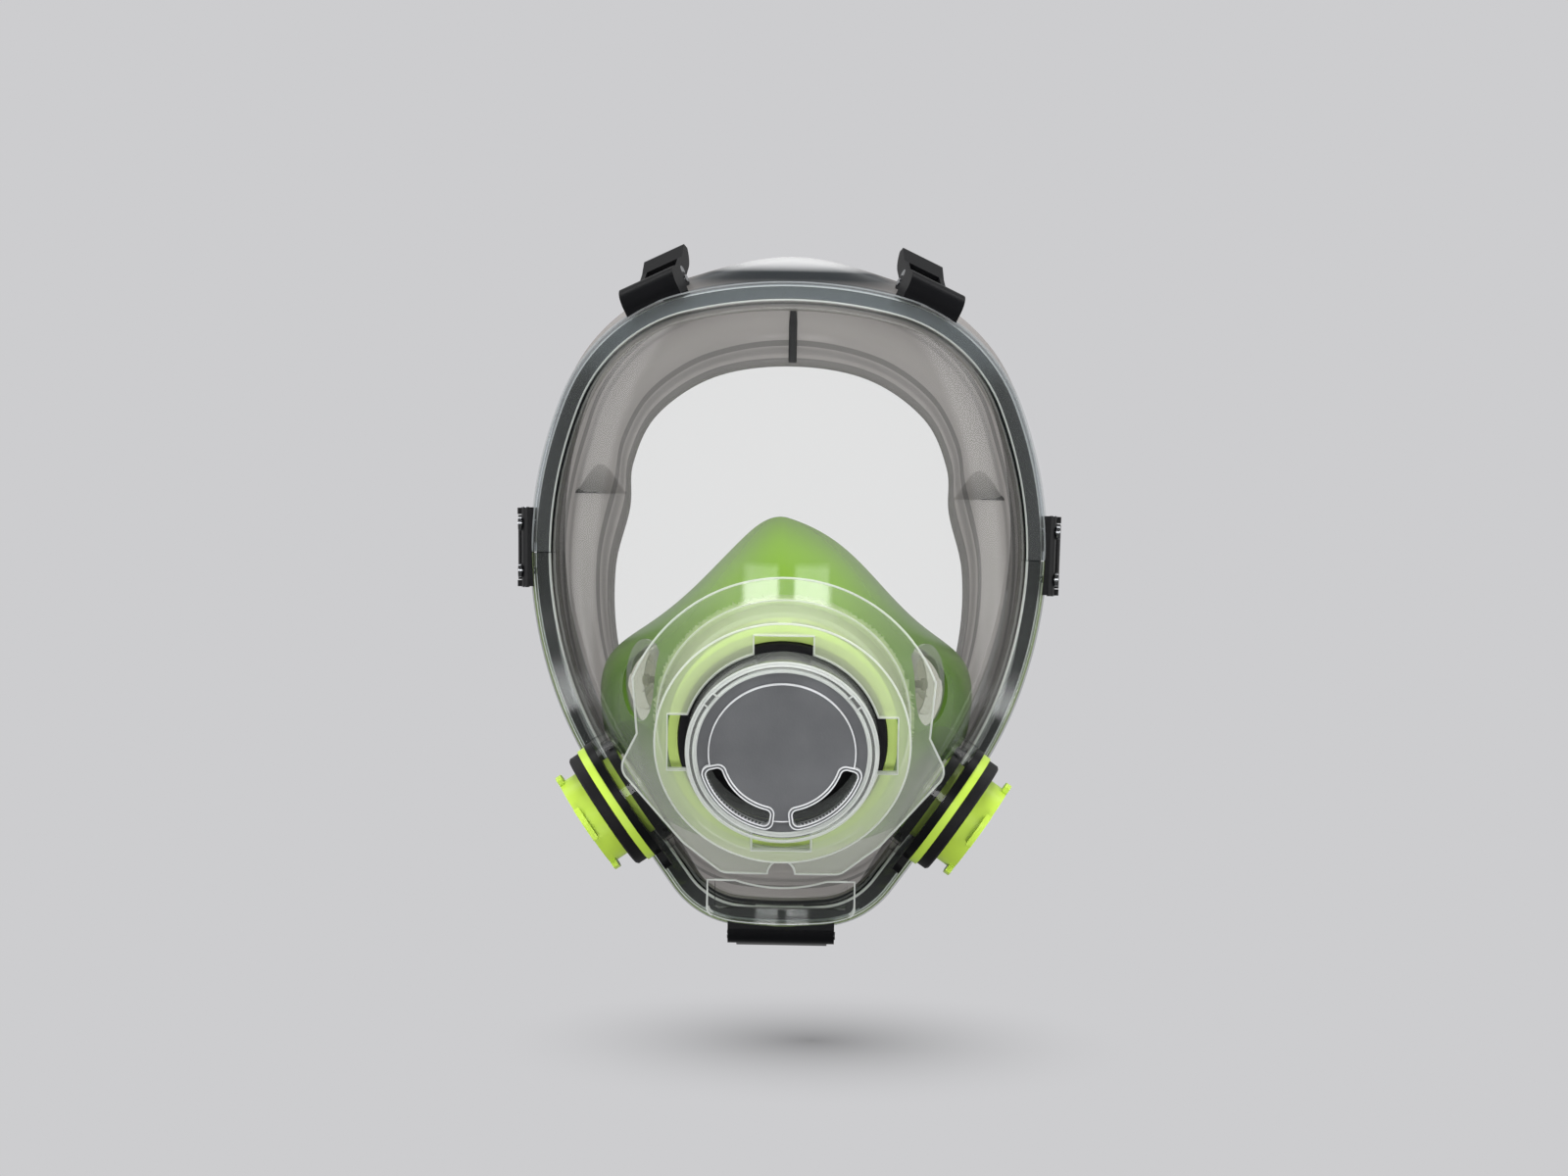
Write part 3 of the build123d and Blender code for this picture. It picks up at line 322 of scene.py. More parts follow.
def by_height(tree, low, high, bottom, top, between=()):
    """Colour that changes smoothly with the height above the origin; between adds (z, colour) stops."""
    rise = smooth_band(tree, coordinate(tree, "Z"), bottom, top, 1.0)
    made = ramp(tree, rise, low, high, 0.0, 1.0)
    for z, colour in between:
        made.color_ramp.elements.new((z - bottom) / (top - bottom)).color = rgba(colour)
    return made


def before_crest(tree, plain, painted):
    """The painted highlight and shade in front of the roll's crest, fading to the plain tone behind it."""
    made = node(tree, "ShaderNodeMixRGB", Color2=rgba(plain))
    behind = smooth_band(tree, coordinate(tree, "Y"), CREST_Y, CREST_Y + CREST_FADE, 1.0)
    tree.links.new(behind, made.inputs["Fac"])
    tree.links.new(painted.outputs["Color"], made.inputs["Color1"])
    return made


def clear_plastic(
    name, tint, gloss=1.0, haze=0.0, roughness=0.02, foot_sheen=None, milk_tint=(0.9, 0.92, 0.9)
):
    """Clear moulded plastic as a wall: it tints what is behind it and mirrors by Fresnel on its outer faces.

    The painted sheen at the foot is given as (haze, low z, high z): the piece grows hazier towards its foot,
    a painted sheen of reflected light.
    """
    mat, tree, output = new_material(name)
    see = node(tree, "ShaderNodeBsdfTransparent", Color=rgba(tint))
    mirror = node(tree, "ShaderNodeBsdfGlossy", Color=rgba((gloss,) * 3), Roughness=roughness)
    glow = node(tree, "ShaderNodeBsdfTranslucent", Color=rgba(milk_tint))
    matt = node(tree, "ShaderNodeBsdfDiffuse", Color=rgba(milk_tint))
    milk = mix_shaders(tree, MILK_DIFFUSE, glow, matt)
    bump(tree, noise(tree, CLEAR_RELIEF, 1.0).outputs["Fac"], mirror, 0.03, 0.001)
    fresnel = node(tree, "ShaderNodeFresnel", IOR=PLASTIC_IOR)
    sides = tree.nodes.new("ShaderNodeNewGeometry")
    share = haze
    if foot_sheen:
        foot = by_height(tree, (foot_sheen[0],) * 3, (haze,) * 3, *foot_sheen[1:])
        share = foot.outputs["Color"]
    body = mix_shaders(tree, share, see, milk)
    outer = mix_shaders(tree, fresnel.outputs["Fac"], body, mirror)
    whole = mix_shaders(tree, sides.outputs["Backfacing"], outer, body)
    tree.links.new(whole.outputs[0], output.inputs["Surface"])
    return mat


def silicone(name, colour, clearness, roughness=0.3, see_tint=None, painted_top_light=None, sheen=0.5):
    """Translucent silicone: part see-through, part lit from behind, with a soft sheen.

    The painted light at the top is given as (see-through tint, low z, high z, stops between): highlight and
    shade painted by height towards the top.
    """
    mat, tree, output = new_material(name)
    skin = node(tree, "ShaderNodeBsdfPrincipled", Roughness=roughness, Specular_IOR_Level=sheen)
    glow = node(tree, "ShaderNodeBsdfTranslucent", Color=rgba(colour))
    see = node(tree, "ShaderNodeBsdfTransparent", Color=rgba(see_tint or colour))
    # Painted highlight and shade by height on the upper part, in front of the crest
    if painted_top_light:
        tint = before_crest(tree, see_tint, by_height(tree, see_tint, *painted_top_light))
        tree.links.new(tint.outputs["Color"], see.inputs["Color"])
    darker, lighter = [c * 0.92 for c in colour], [c * 1.06 for c in colour]
    tone = ramp(tree, noise(tree, SILICONE_TONE).outputs["Fac"], darker, lighter)
    if painted_top_light:
        top, low_z, high_z, between = painted_top_light
        paler = [(z, [0.5 * c for c in shade]) for z, shade in between]
        painted = by_height(tree, colour, [0.8 * c for c in top], low_z, high_z, paler)
        tone = before_crest(tree, colour, painted)
    tree.links.new(tone.outputs["Color"], skin.inputs["Base Color"])
    bump(tree, noise(tree, SILICONE_RELIEF, 1.0).outputs["Fac"], skin, 0.02)
    whole = mix_shaders(tree, clearness, mix_shaders(tree, BACKLIT, skin, glow), see)
    tree.links.new(whole.outputs[0], output.inputs["Surface"])
    return mat


def cup_silicone():
    """Glossy green silicone, with painted shade that deepens its tone towards the cheeks."""
    mat, tree, output = new_material("cup_silicone")
    shader = node(tree, "ShaderNodeBsdfPrincipled", Roughness=0.26)
    aside = reckon(tree, "ABSOLUTE", coordinate(tree, "X"))
    # Painted shade on the flanks
    flank_shade = smooth_band(tree, aside, 0.3 * CUP_WIDTH, CUP_WIDTH, 1.0)
    shade = ramp(tree, flank_shade, CUP_GREEN, CUP_FLANK_SHADE, 0.0, 1.0)
    tree.links.new(shade.outputs["Color"], shader.inputs["Base Color"])
    bump(tree, noise(tree, CUP_GRAIN, 2.0).outputs["Fac"], shader, 0.04)
    tree.links.new(shader.outputs["BSDF"], output.inputs["Surface"])
    return mat


def metal(name, colour, roughness):
    """Satin steel with fine drawn lines."""
    mat, tree, output = new_material(name)
    shader = node(tree, "ShaderNodeBsdfPrincipled", Metallic=1.0, Roughness=roughness)
    tone = ramp(tree, noise(tree, STEEL_LINES).outputs["Fac"], [c * 0.9 for c in colour], colour)
    tree.links.new(tone.outputs["Color"], shader.inputs["Base Color"])
    tree.links.new(shader.outputs["BSDF"], output.inputs["Surface"])
    return mat


def dress(material, *names):
    """Gives CAD nodes a material and smooth shading, with edges kept sharp."""
    for name in names:
        mesh = NODES[name].data
        mesh.materials.clear()
        mesh.materials.append(material)
        mesh.polygons.foreach_set("use_smooth", [True] * len(mesh.polygons))
        mesh.set_sharp_from_angle(angle=SHARP)


def lit_edges(name, material, picks):
    """Gives some of a CAD node's faces a second material, picked by their centre and normal."""
    mesh = NODES[name].data
    world = NODES[name].matrix_world
    mesh.materials.append(material)
    slot = len(mesh.materials) - 1
    for face in mesh.polygons:
        if picks(world @ face.center, (world.to_3x3() @ face.normal).normalized()):
            face.material_index = slot


VISOR = clear_plastic("visor_clear", (0.985, 0.987, 0.985), gloss=0.35, haze=0.006)
COVER = clear_plastic(
    "cover_clear",
    (0.96, 0.97, 0.95),
    haze=0.06,
    roughness=0.05,
    # Painted sheen: hazier towards the cover's foot
    foot_sheen=(0.17, -0.060, -0.030),
    milk_tint=(0.95, 0.98, 0.90),
)
# Milky collar: partly the thicker plastic's own haze, partly a painted lime glow of the housing under it
COVER_LIME_GLOW = clear_plastic(
    "cover_collar_glow", (0.95, 0.96, 0.93), haze=0.30, roughness=0.08, milk_tint=(0.84, 0.92, 0.66)
)
CAP = clear_plastic("cap_clear", (0.85, 0.86, 0.86), haze=0.16)
SMOKED = clear_plastic("frame_smoked", (0.80, 0.82, 0.84), haze=0.05, roughness=0.06)
# Shaded copy of the frame's plastic for its lower half: less gloss and haze, as painted shade
SMOKED_SHADED = clear_plastic("frame_smoked_shaded", (0.82, 0.84, 0.84), gloss=0.5, haze=0.03, roughness=0.08)
# Painted highlight and shade on the upper roll: near-white at its top with a painted dark band below it, in
# front of the crest
SEAL = silicone(
    "seal_silicone",
    (0.43, 0.41, 0.40),
    0.44,
    roughness=0.22,
    see_tint=(0.78, 0.765, 0.755),
    painted_top_light=((0.97, 0.98, 0.99), 0.090, 0.1018, CROWN_SHADE_BAND),
)
# Darker silicone for the opening's rolled edge and for the painted shade of the folds
SEAL_EDGE_AND_FOLD_SHADE = silicone("seal_edge_and_fold_shade", (0.20, 0.195, 0.19), 0.40, roughness=0.22, see_tint=(0.60, 0.595, 0.59))
RIB = silicone("seal_rib", (0.070, 0.070, 0.074), 0.34, see_tint=(0.38, 0.38, 0.39), sheen=0.05)
# Dark grey for the temple webs: painted shade
WEB_SHADE = silicone("seal_web_shade", (0.120, 0.118, 0.118), 0.40, see_tint=(0.42, 0.41, 0.41), sheen=0.05)
# Painted light: the bead is painted lighter towards the top, where the light falls
BEAD = silicone(
    "seal_bead",
    (0.030, 0.032, 0.037),
    0.45,
    see_tint=(0.10, 0.11, 0.12),
    painted_top_light=((0.62, 0.66, 0.68), 0.045, 0.085, ()),
    sheen=0.12,
)
CUP = cup_silicone()
LIME_MAT = moulded("lime_plastic", LIME, 0.38, relief=0.06, spread=0.05)
BLACK_MAT = moulded("black_plastic", BLACK, 0.35, Specular_IOR_Level=0.10)
RUBBER_MAT = moulded("black_rubber", RUBBER, 0.6, grain=1200.0, relief=0.25, Specular_IOR_Level=0.3)
DISC_MAT = moulded("cover_disc_grey", DISC_GREY, 0.5, grain=1500.0, relief=0.3, Specular_IOR_Level=0.3)
STEEL_MAT = metal("steel", STEEL, 0.25)
VALVE_MAT = silicone("valve_silicone", (0.72, 0.71, 0.66), 0.3)
# Pale milky plastic that paints highlights on edge faces of the frame, the cover and the cap
EDGE_HIGHLIGHT = clear_plastic("clear_edge", (0.90, 0.92, 0.90), haze=0.62, roughness=0.15)
# Materials of the beads that paint highlight lines: green-tinted, bright and faint
GREEN_HIGHLIGHT = silicone("green_bead", (0.30, 0.36, 0.20), 0.45, roughness=0.2, see_tint=(0.75, 0.80, 0.65))
BRIGHT_HIGHLIGHT = silicone("bright_bead", (0.80, 0.82, 0.80), 0.45, roughness=0.15, see_tint=(0.95, 0.95, 0.95))
FAINT_HIGHLIGHT = silicone("faint_bead", (0.50, 0.52, 0.53), 0.60, roughness=0.15, see_tint=(0.85, 0.86, 0.87))
# Pale grey that paints highlights on the rims of the disc's kidney slots
PALE_HIGHLIGHT = moulded("pale_edge", (0.62, 0.63, 0.64), 0.3, relief=0.03)
SEAT_MAT = clear_plastic("valve_seat_clear", (0.80, 0.80, 0.74), haze=0.12)
FLAP_MAT = silicone("flap_silicone", (0.30, 0.30, 0.24), 0.55, see_tint=(0.80, 0.80, 0.70))
LIME_PALE = moulded("lime_under_cover", LIME_UNDER, 0.45, relief=0.04, spread=0.05)

dress(VISOR, "visor")
dress(COVER, "front_cover")
dress(CAP, "cap_ring")
dress(SMOKED, "frame_upper")
dress(SMOKED_SHADED, "frame_lower")
dress(SEAL, "face_seal")
dress(CUP, "nose_cup")
dress(LIME_MAT, "port_housing")
dress(DISC_MAT, "valve_cover")
dress(RUBBER_MAT, "valve_seat")
dress(RUBBER_MAT, "port_sleeve")
dress(BLACK_MAT, "port_nut")
dress(RUBBER_MAT, "exhale_valve")
dress(VALVE_MAT, "speech_diaphragm")
dress(STEEL_MAT, "frame_screws")
for word in SIDES:
    dress(SEAT_MAT, "check_seat_" + word)
    dress(FLAP_MAT, "check_valve_" + word)
    dress(VALVE_MAT, "inhale_valve_" + word)
    dress(BLACK_MAT, "filter_plate_" + word, "filter_nut_" + word)
    dress(RUBBER_MAT, "filter_gasket_" + word)
    dress(LIME_MAT, "filter_ring_" + word, "filter_spigot_" + word)
for word in BUCKLES:
    dress(BLACK_MAT, "buckle_hood_" + word, "buckle_body_" + word)
    dress(STEEL_MAT, "buckle_pin_" + word, "buckle_roller_" + word)


def port_local(point):
    """Height along the port's axis and distance from it."""
    height = (point - PORT_ORIGIN).dot(PORT_AXIS)
    return height, (point - PORT_ORIGIN - PORT_AXIS * height).length


def inner_lip(point, normal):
    """Faces of the frame that look in towards the lens."""
    outwards = normal.x * point.x + normal.z * (point.z - LENS_MIDDLE_Z)
    return abs(normal.y) < INWARD_SLANT and outwards < 0


def cover_edge(point, normal):
    """Cut edge of the front cover's skin and the rims of its slots."""
    height, radius = port_local(point)
    cut = abs(normal.y) < EDGEWISE and radius > SKIN_RADIUS
    wall = abs(normal.dot(PORT_AXIS)) < WALL_SLANT
    return cut or (radius < SLOT_RADIUS and height > SLOT_HEIGHT and wall)


def cover_collar_glow(point, normal):
    """Collar and face of the front cover, which are thicker and milkier than its skin; their milk is tinted
    lime as a painted glow of the housing below.
    """
    height, radius = port_local(point)
    return radius < COLLAR_RADIUS and height > COLLAR_FOOT


def kidney_rim(point, normal):
    """Raised lip round the kidney slots and the edge of the raised centre."""
    height, radius = port_local(point)
    sloped = abs(normal.dot(PORT_AXIS)) < LIP_SLANT
    return height > DISC_HEIGHT and radius < DISC_RADIUS and sloped


def cap_line(point, normal):
    """Chamfer and inner edge of the cap ring."""
    height, radius = port_local(point)
    slant = abs(normal.dot(PORT_AXIS))
    steep, flat = CHAMFER_SLANT
    chamfer = height > CHAMFER_HEIGHT and steep < slant < flat
    return chamfer or (height > CAP_HEIGHT and slant < steep and radius < CAP_RADIUS)


def shaded_bore(point, normal):
    """Inner faces of the port housing, which the slots of the cover look into; black rubber is painted on
    them as shade in the bore.
    """
    return port_local(point)[1] < HOUSING_BORE


def under_cover(point, normal):
    """Front faces of the port housing, which lie under the cover's collar."""
    return abs(normal.dot(PORT_AXIS)) > ROOF_SLANT


# Painted highlights on the frame's inner lip faces
for half in ("frame_upper", "frame_lower"):
    lit_edges(half, EDGE_HIGHLIGHT, inner_lip)
lit_edges("front_cover", COVER_LIME_GLOW, cover_collar_glow)
# Painted highlights on the cover's cut edge and slot rims
lit_edges("front_cover", EDGE_HIGHLIGHT, cover_edge)
# Painted highlights on the kidney rims
lit_edges("valve_cover", PALE_HIGHLIGHT, kidney_rim)
# Painted highlights on the cap ring's chamfer and inner edge
lit_edges("cap_ring", EDGE_HIGHLIGHT, cap_line)
lit_edges("port_housing", LIME_PALE, under_cover)
# Painted shade: the bore of the lime housing gets black rubber
lit_edges("port_housing", RUBBER_MAT, shaded_bore)


def edge_highlight_beads(name, source, picks, radius, material):
    """Fine bright beads on the sharp edges of a CAD node that picks accepts: painted highlights where clear
    plastic catches light.
    """
    shape = bmesh.new()
    shape.from_mesh(NODES[source].data)
    bmesh.ops.remove_doubles(shape, verts=shape.verts, dist=SAME_PLACE)
    shape.transform(NODES[source].matrix_world)
    shape.normal_update()
    points, pairs, spots = [], [], {}
    for edge in shape.edges:
        if len(edge.link_faces) != 2 or edge.calc_face_angle(0.0) <= SHARP:
            continue
        middle = (edge.verts[0].co + edge.verts[1].co) / 2
        if not picks(middle, [f.normal for f in edge.link_faces]):
            continue
        for v in edge.verts:
            if v.index not in spots:
                spots[v.index] = len(points)
                points.append(v.co.copy())
        pairs.append([spots[v.index] for v in edge.verts])
    shape.free()
    wires = bpy.data.meshes.new(name)
    wires.from_pydata(points, pairs, [])
    beads = bpy.data.objects.new(name, wires)
    bpy.context.scene.collection.objects.link(beads)
    bpy.context.view_layer.objects.active = beads
    bpy.ops.object.select_all(action="DESELECT")
    beads.select_set(True)
    bpy.ops.object.convert(target="CURVE")
    beads.data.bevel_depth = radius
    beads.data.bevel_resolution = 1
    bpy.ops.object.convert(target="MESH")
    beads.data.materials.clear()
    beads.data.materials.append(material)
    beads.data.polygons.foreach_set("use_smooth", [True] * len(beads.data.polygons))
    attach(beads, "facepiece")


def faces_front(normals, least=FRONT_SLANT):
    """True if a face beside the edge looks forward."""
    return min(n.y for n in normals) < -least


def on_cover(point, normals):
    """Outline of the cover, its notch, its slots and the rims of its collar."""
    height, radius = port_local(point)
    return faces_front(normals) and (radius > COVER_LINE_RADIUS or height > COVER_LINE_HEIGHT)


def on_cap(point, normals):
    """Rims of the cap ring and its stops."""
    return port_local(point)[0] > CAP_LINE_HEIGHT and faces_front(normals)


def on_disc(point, normals):
    """Rims of the kidney slots and of the disc's raised centre."""
    height, radius = port_local(point)
    return height > DISC_LINE_HEIGHT and radius < DISC_LINE_RADIUS and faces_front(normals)


def on_ledge(point, normals):
    """Outer edges of the visor's chin ledge."""
    outside = point.y < LEDGE_FRONT or point.z < LEDGE_FOOT
    return point.z < LEDGE_TOP and outside and abs(point.x) < LEDGE_HALF


def frame_inset(point, normals):
    """How far a front corner of the frame's channel lies from the rim line, or 0 elsewhere."""
    across = abs(point.x) > SPLIT_X and max(abs(n.z) for n in normals) > ACROSS_SLANT
    if across or not faces_front(normals, CORNER_SLANT):
        return 0.0
    if abs(point.y - rim_depth(point.x, point.z)) > CHANNEL_DEPTH:
        return 0.0
    place = Vector((abs(point.x), 0.0, point.z))
    return min((place - Vector((r.x, 0.0, r.z))).length for r in RIM_LINE)


def on_inner_corner(point, normals):
    """Inner front corner of the frame."""
    return frame_inset(point, normals) > INSET_SPLIT


def on_outer_corner(point, normals):
    """Outer front corner of the frame."""
    return 0.0 < frame_inset(point, normals) <= INSET_SPLIT


# ---------------------------------------------------------------- soft pieces
def turned(x, z, radius, start, sweep):
    """End of an arc of the outline that turns from one heading to another, in degrees."""
    first, last = math.radians(start), math.radians(start + sweep)
    return x + radius * (math.sin(last) - math.sin(first)), z - radius * (math.cos(first) - math.cos(last))


def rim_depth(x, z):
    """Depth of the rim line behind a place in the front view."""
    rise = z - RIM_CENTRE_Z
    steepness = rise * rise / (x * x + rise * rise + RIM_BLEND * RIM_BLEND)
    if rise > 0:
        return TEMPLE_Y - BROW_REACH * steepness
    return TEMPLE_Y - CHIN_REACH * steepness**CHIN_SHARPNESS


def rim_point(angle, along):
    """Place on the rim whose outward normal is turned by angle from straight up, and that normal."""
    x, z, done = 0.0, RIM_TOP, 0.0
    for radius, sweep in OUTLINE_ARCS:
        part = max(min(sweep, angle - done), 0.0)
        x, z = turned(x, z, radius, done, part)
        done += part
    if angle >= JAW_ANGLE:
        x += along * JAW_FLAT * math.cos(math.radians(JAW_ANGLE))
        z -= along * JAW_FLAT * math.sin(math.radians(JAW_ANGLE))
        chin = min(CHIN_SWEEP, angle - JAW_ANGLE)
        x, z = turned(x, z, CHIN_RADIUS, JAW_ANGLE, chin)
        if chin == CHIN_SWEEP:
            foot = x / math.sin(math.radians(180.0 - JAW_ANGLE - CHIN_SWEEP))
            x, z = turned(x, z, foot, JAW_ANGLE + chin, angle - JAW_ANGLE - chin)
    turn = math.radians(angle)
    inwards = 0.0
    for _ in range(DRAFT_PASSES):
        y = rim_depth(x - inwards * math.sin(turn), z - inwards * math.cos(turn))
        inwards = DRAFT_GROWTH * (OUTLINE_Y - y)
    normal = Vector((math.sin(turn), 0.0, math.cos(turn)))
    return Vector((x, y, z)) - normal * inwards, normal


RIM_LINE = [rim_point(angle, 0.0)[0] for angle in range(FLAT_TURN)]
RIM_LINE += [rim_point(FLAT_TURN - 0.5, share / FLAT_STEPS)[0] for share in range(FLAT_STEPS + 1)]
RIM_LINE += [rim_point(angle, 1.0)[0] for angle in range(FLAT_TURN, 181)]


def curve_value(a, b, c, d, t):
    """Catmull-Rom value at a share t of the way from b to c."""
    square, cube = (2 * a - 5 * b + 4 * c - d) * t**2, (3 * b - a - 3 * c + d) * t**3
    return 0.5 * (2 * b + (c - a) * t + square + cube)


def smooth_line(points, steps):
    """Smooth line through points, with steps stretches between each pair."""
    ends = [points[0] * 2 - points[1]] + list(points) + [points[-1] * 2 - points[-2]]
    line = []
    for i in range(1, len(ends) - 2):
        line += [curve_value(*ends[i - 1 : i + 3], k / steps) for k in range(steps)]
    return line + [points[-1].copy()]


def station(place):
    """Rim angle and place on the jaw's flat at a place between two stations, and a smooth mix of the rest."""
    last = len(SEAL_STATIONS) - 1
    i = min(int(place), last - 1)
    t = place - i
    rows = [SEAL_STATIONS[min(abs(k), 2 * last - abs(k))] for k in (i - 1, i, i + 1, i + 2)]
    rows = [Vector(r[2:]) for r in rows]
    if i == 0:
        rows[0].y *= -1
    if i == last - 1:
        rows[3].y *= -1
    first, second = SEAL_STATIONS[i], SEAL_STATIONS[i + 1]
    angle = first[0] + (second[0] - first[0]) * t
    along = first[1] + (second[1] - first[1]) * t
    return angle, along, curve_value(*rows, t)


def loop_mesh(name, rings, material, closed_round=True):
    """Tube-like mesh through closed rings of equal length; the last ring joins the first."""
    count = len(rings[0])
    vertices = [p for r in rings for p in r]
    faces = []
    for i in range(len(rings) if closed_round else len(rings) - 1):
        near, far = i * count, (i + 1) % len(rings) * count
        for k in range(count):
            n = (k + 1) % count
            faces.append((near + k, near + n, far + n, far + k))
    mesh = bpy.data.meshes.new(name)
    mesh.from_pydata(vertices, [], faces)
    mesh.materials.append(material)
    mesh.polygons.foreach_set("use_smooth", [True] * len(mesh.polygons))
    mesh.update()
    made = bpy.data.objects.new(name, mesh)
    bpy.context.scene.collection.objects.link(made)
    return made


def lip_at(place):
    """Rim, its normal, the flare, and the lip's two ends: the rear roll and the opening's edge."""
    angle, along, (flare, edge_x, edge_z) = station(place)
    rim, normal = rim_point(angle, along)
    roll = rim + normal * (flare - ROLL_INSET)
    return rim, normal, flare, roll, Vector((edge_x, rim.y, edge_z))


def on_lip(roll, edge, share, depth):
    """Place on the lip at a share of the way from the rear roll to the opening's edge."""
    return roll + (edge - roll) * share + Vector((0, depth, 0))


def skirt_ring(place, side):
    """Closed section of the skirt: a wall along a smooth line, thicker at its rolled opening edge."""
    rim, normal, flare, roll, edge = lip_at(place)
    path = [rim + normal * (flare * part + out) + Vector((0, deep, 0)) for part, out, deep in SKIRT_WALL]
    path += [on_lip(roll, edge, share, depth) for share, depth in SKIRT_LIP]
    line = smooth_line(path, SKIRT_STEPS)
    front, back = [], []
    for i, point in enumerate(line):
        ahead = line[min(i + 1, len(line) - 1)] - line[max(i - 1, 0)]
        across = ahead.cross(normal.cross(Vector((0, 1, 0)))).normalized()
        share = i / (len(line) - 1)
        swell = max(0.0, (share - SWELL_FROM) / (1 - SWELL_FROM)) ** 2
        half = SEAL_HALF_WALL + EDGE_SWELL * swell
        front.append(point + across * half)
        back.append(point - across * half)
    ring = front + back[::-1]
    return [Vector((p.x * side, p.y, p.z)) for p in ring]


def seal_rings(make):
    """Rings right round the rim: down the wearer's left and up the right."""
    count = (len(SEAL_STATIONS) - 1) * STATION_STEPS
    left = [make(i / STATION_STEPS, 1) for i in range(count + 1)]
    right = [make(i / STATION_STEPS, -1) for i in range(count - 1, 0, -1)]
    return left + right


def bead_ring(place, side):
    """Section of the seal's bead inside the frame's channel."""
    angle, along, _ = station(place)
    rim, normal = rim_point(angle, along)
    way = angle + JAW_SHARE * along
    before, after = next(pair for pair in zip(BEAD_REACH, BEAD_REACH[1:]) if way <= pair[1][0])
    reach = before[1] + (after[1] - before[1]) * (way - before[0]) / (after[0] - before[0])
    near, far = BEAD_DEPTHS
    corners = ((-BEAD_OUTER, near), (-BEAD_OUTER, far), (-reach, far), (-reach, near))
    ring = [rim + normal * offset + Vector((0, depth, 0)) for offset, depth in corners]
    return [Vector((p.x * side, p.y, p.z)) for p in ring]


def face_seal():
    """Smooth silicone seal in place of the CAD one, with its bead."""
    skirt = loop_mesh("seal_skirt", seal_rings(skirt_ring), SEAL)
    # Second material: darker rolled edge, and painted shade along two folds
    skirt.data.materials.append(SEAL_EDGE_AND_FOLD_SHADE)
    count = len(skirt_ring(0.0, 1))
    for face in skirt.data.polygons:
        along = face.vertices[0] % count
        share = min(along, count - 1 - along) / (count / 2)
        if share > EDGE_FROM or any(low < share < high for low, high in FOLD_SHADE_BANDS):
            face.material_index = 1
    bead = loop_mesh("seal_bead", seal_rings(bead_ring), BEAD)
    bead.data.set_sharp_from_angle(angle=BEAD_SHARP)
    for piece in (skirt, bead):
        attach(piece, "facepiece")
    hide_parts("face_seal")
    ribs = [brow_rib()] + [temple_web(side) for side in (1, -1)]
    for rib in ribs:
        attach(rib, "facepiece")


def brow_rib():
    """Rib moulded down the middle of the lip at the brow."""
    *_, roll, edge = lip_at(0.0)
    section = ((-1.0, 0.0), (-RIB_TOP, -1.0), (RIB_TOP, -1.0), (1.0, 0.0))
    rings = []
    for i in range(RIB_STEPS + 1):
        share = RIB_START + RIB_LENGTH * i / RIB_STEPS
        middle = on_lip(roll, edge, share, RIB_DEPTH - RIB_CLIMB * share) + Vector(RIB_SHIFT)
        rise = RIB_RISE * math.sin(math.pi * (0.1 + 0.8 * i / RIB_STEPS)) ** 0.5
        rings.append([middle + Vector((x * RIB_HALF, y * rise, 0)) for x, y in section])
    return closed_strip("brow_rib", rings, RIB)


def temple_web(side):
    """Bell-shaped web that stiffens the lip at the temple: a thin ridge that fades upwards, coloured dark as
    painted shade.
    """
    rings = []
    for i in range(WEB_STEPS + 1):
        t = i / WEB_STEPS
        x = WEB_OUTER + (WEB_INNER - WEB_OUTER) * t
        height = WEB_HEIGHT * math.sin(math.pi * t) ** WEB_BELL + WEB_FOOT
        y = WEB_Y - WEB_BULGE * math.sin(math.pi * t)
        section = ((0.0, 0.0), (-WEB_THICK, 0.0), (-WEB_TAPER, height), (0.0, height))
        rings.append([Vector((side * x, y + dy, WEB_BASE + dz)) for dy, dz in section])
    return closed_strip("temple_web_" + ("left" if side > 0 else "right"), rings, WEB_SHADE)


def closed_strip(name, rings, material):
    """Tube through open-ended rings, with both ends capped."""
    made = loop_mesh(name, rings, material, closed_round=False)
    shape = bmesh.new()
    shape.from_mesh(made.data)
    bmesh.ops.holes_fill(shape, edges=[e for e in shape.edges if e.is_boundary])
    bmesh.ops.recalc_face_normals(shape, faces=shape.faces)
    shape.to_mesh(made.data)
    shape.free()
    made.data.set_sharp_from_angle(angle=RIB_SHARP)
    return made


face_seal()
# Painted highlights: thin pale beads along edges of the clear parts, the disc and the frame
edge_highlight_beads("cover_highlight_beads", "front_cover", on_cover, 0.00035, BRIGHT_HIGHLIGHT)
edge_highlight_beads("cap_highlight_beads", "cap_ring", on_cap, 0.00030, BRIGHT_HIGHLIGHT)
edge_highlight_beads("disc_highlight_beads", "valve_cover", on_disc, 0.00022, PALE_HIGHLIGHT)
edge_highlight_beads("ledge_highlight_beads", "visor", on_ledge, 0.00035, BRIGHT_HIGHLIGHT)
edge_highlight_beads("frame_highlight_top", "frame_upper", on_inner_corner, 0.00030, BRIGHT_HIGHLIGHT)
edge_highlight_beads("frame_highlight_low", "frame_lower", on_inner_corner, 0.00042, BRIGHT_HIGHLIGHT)
edge_highlight_beads("frame_rim_highlight_top", "frame_upper", on_outer_corner, 0.00030, FAINT_HIGHLIGHT)
edge_highlight_beads("frame_rim_highlight_low", "frame_lower", on_outer_corner, 0.00030, GREEN_HIGHLIGHT)


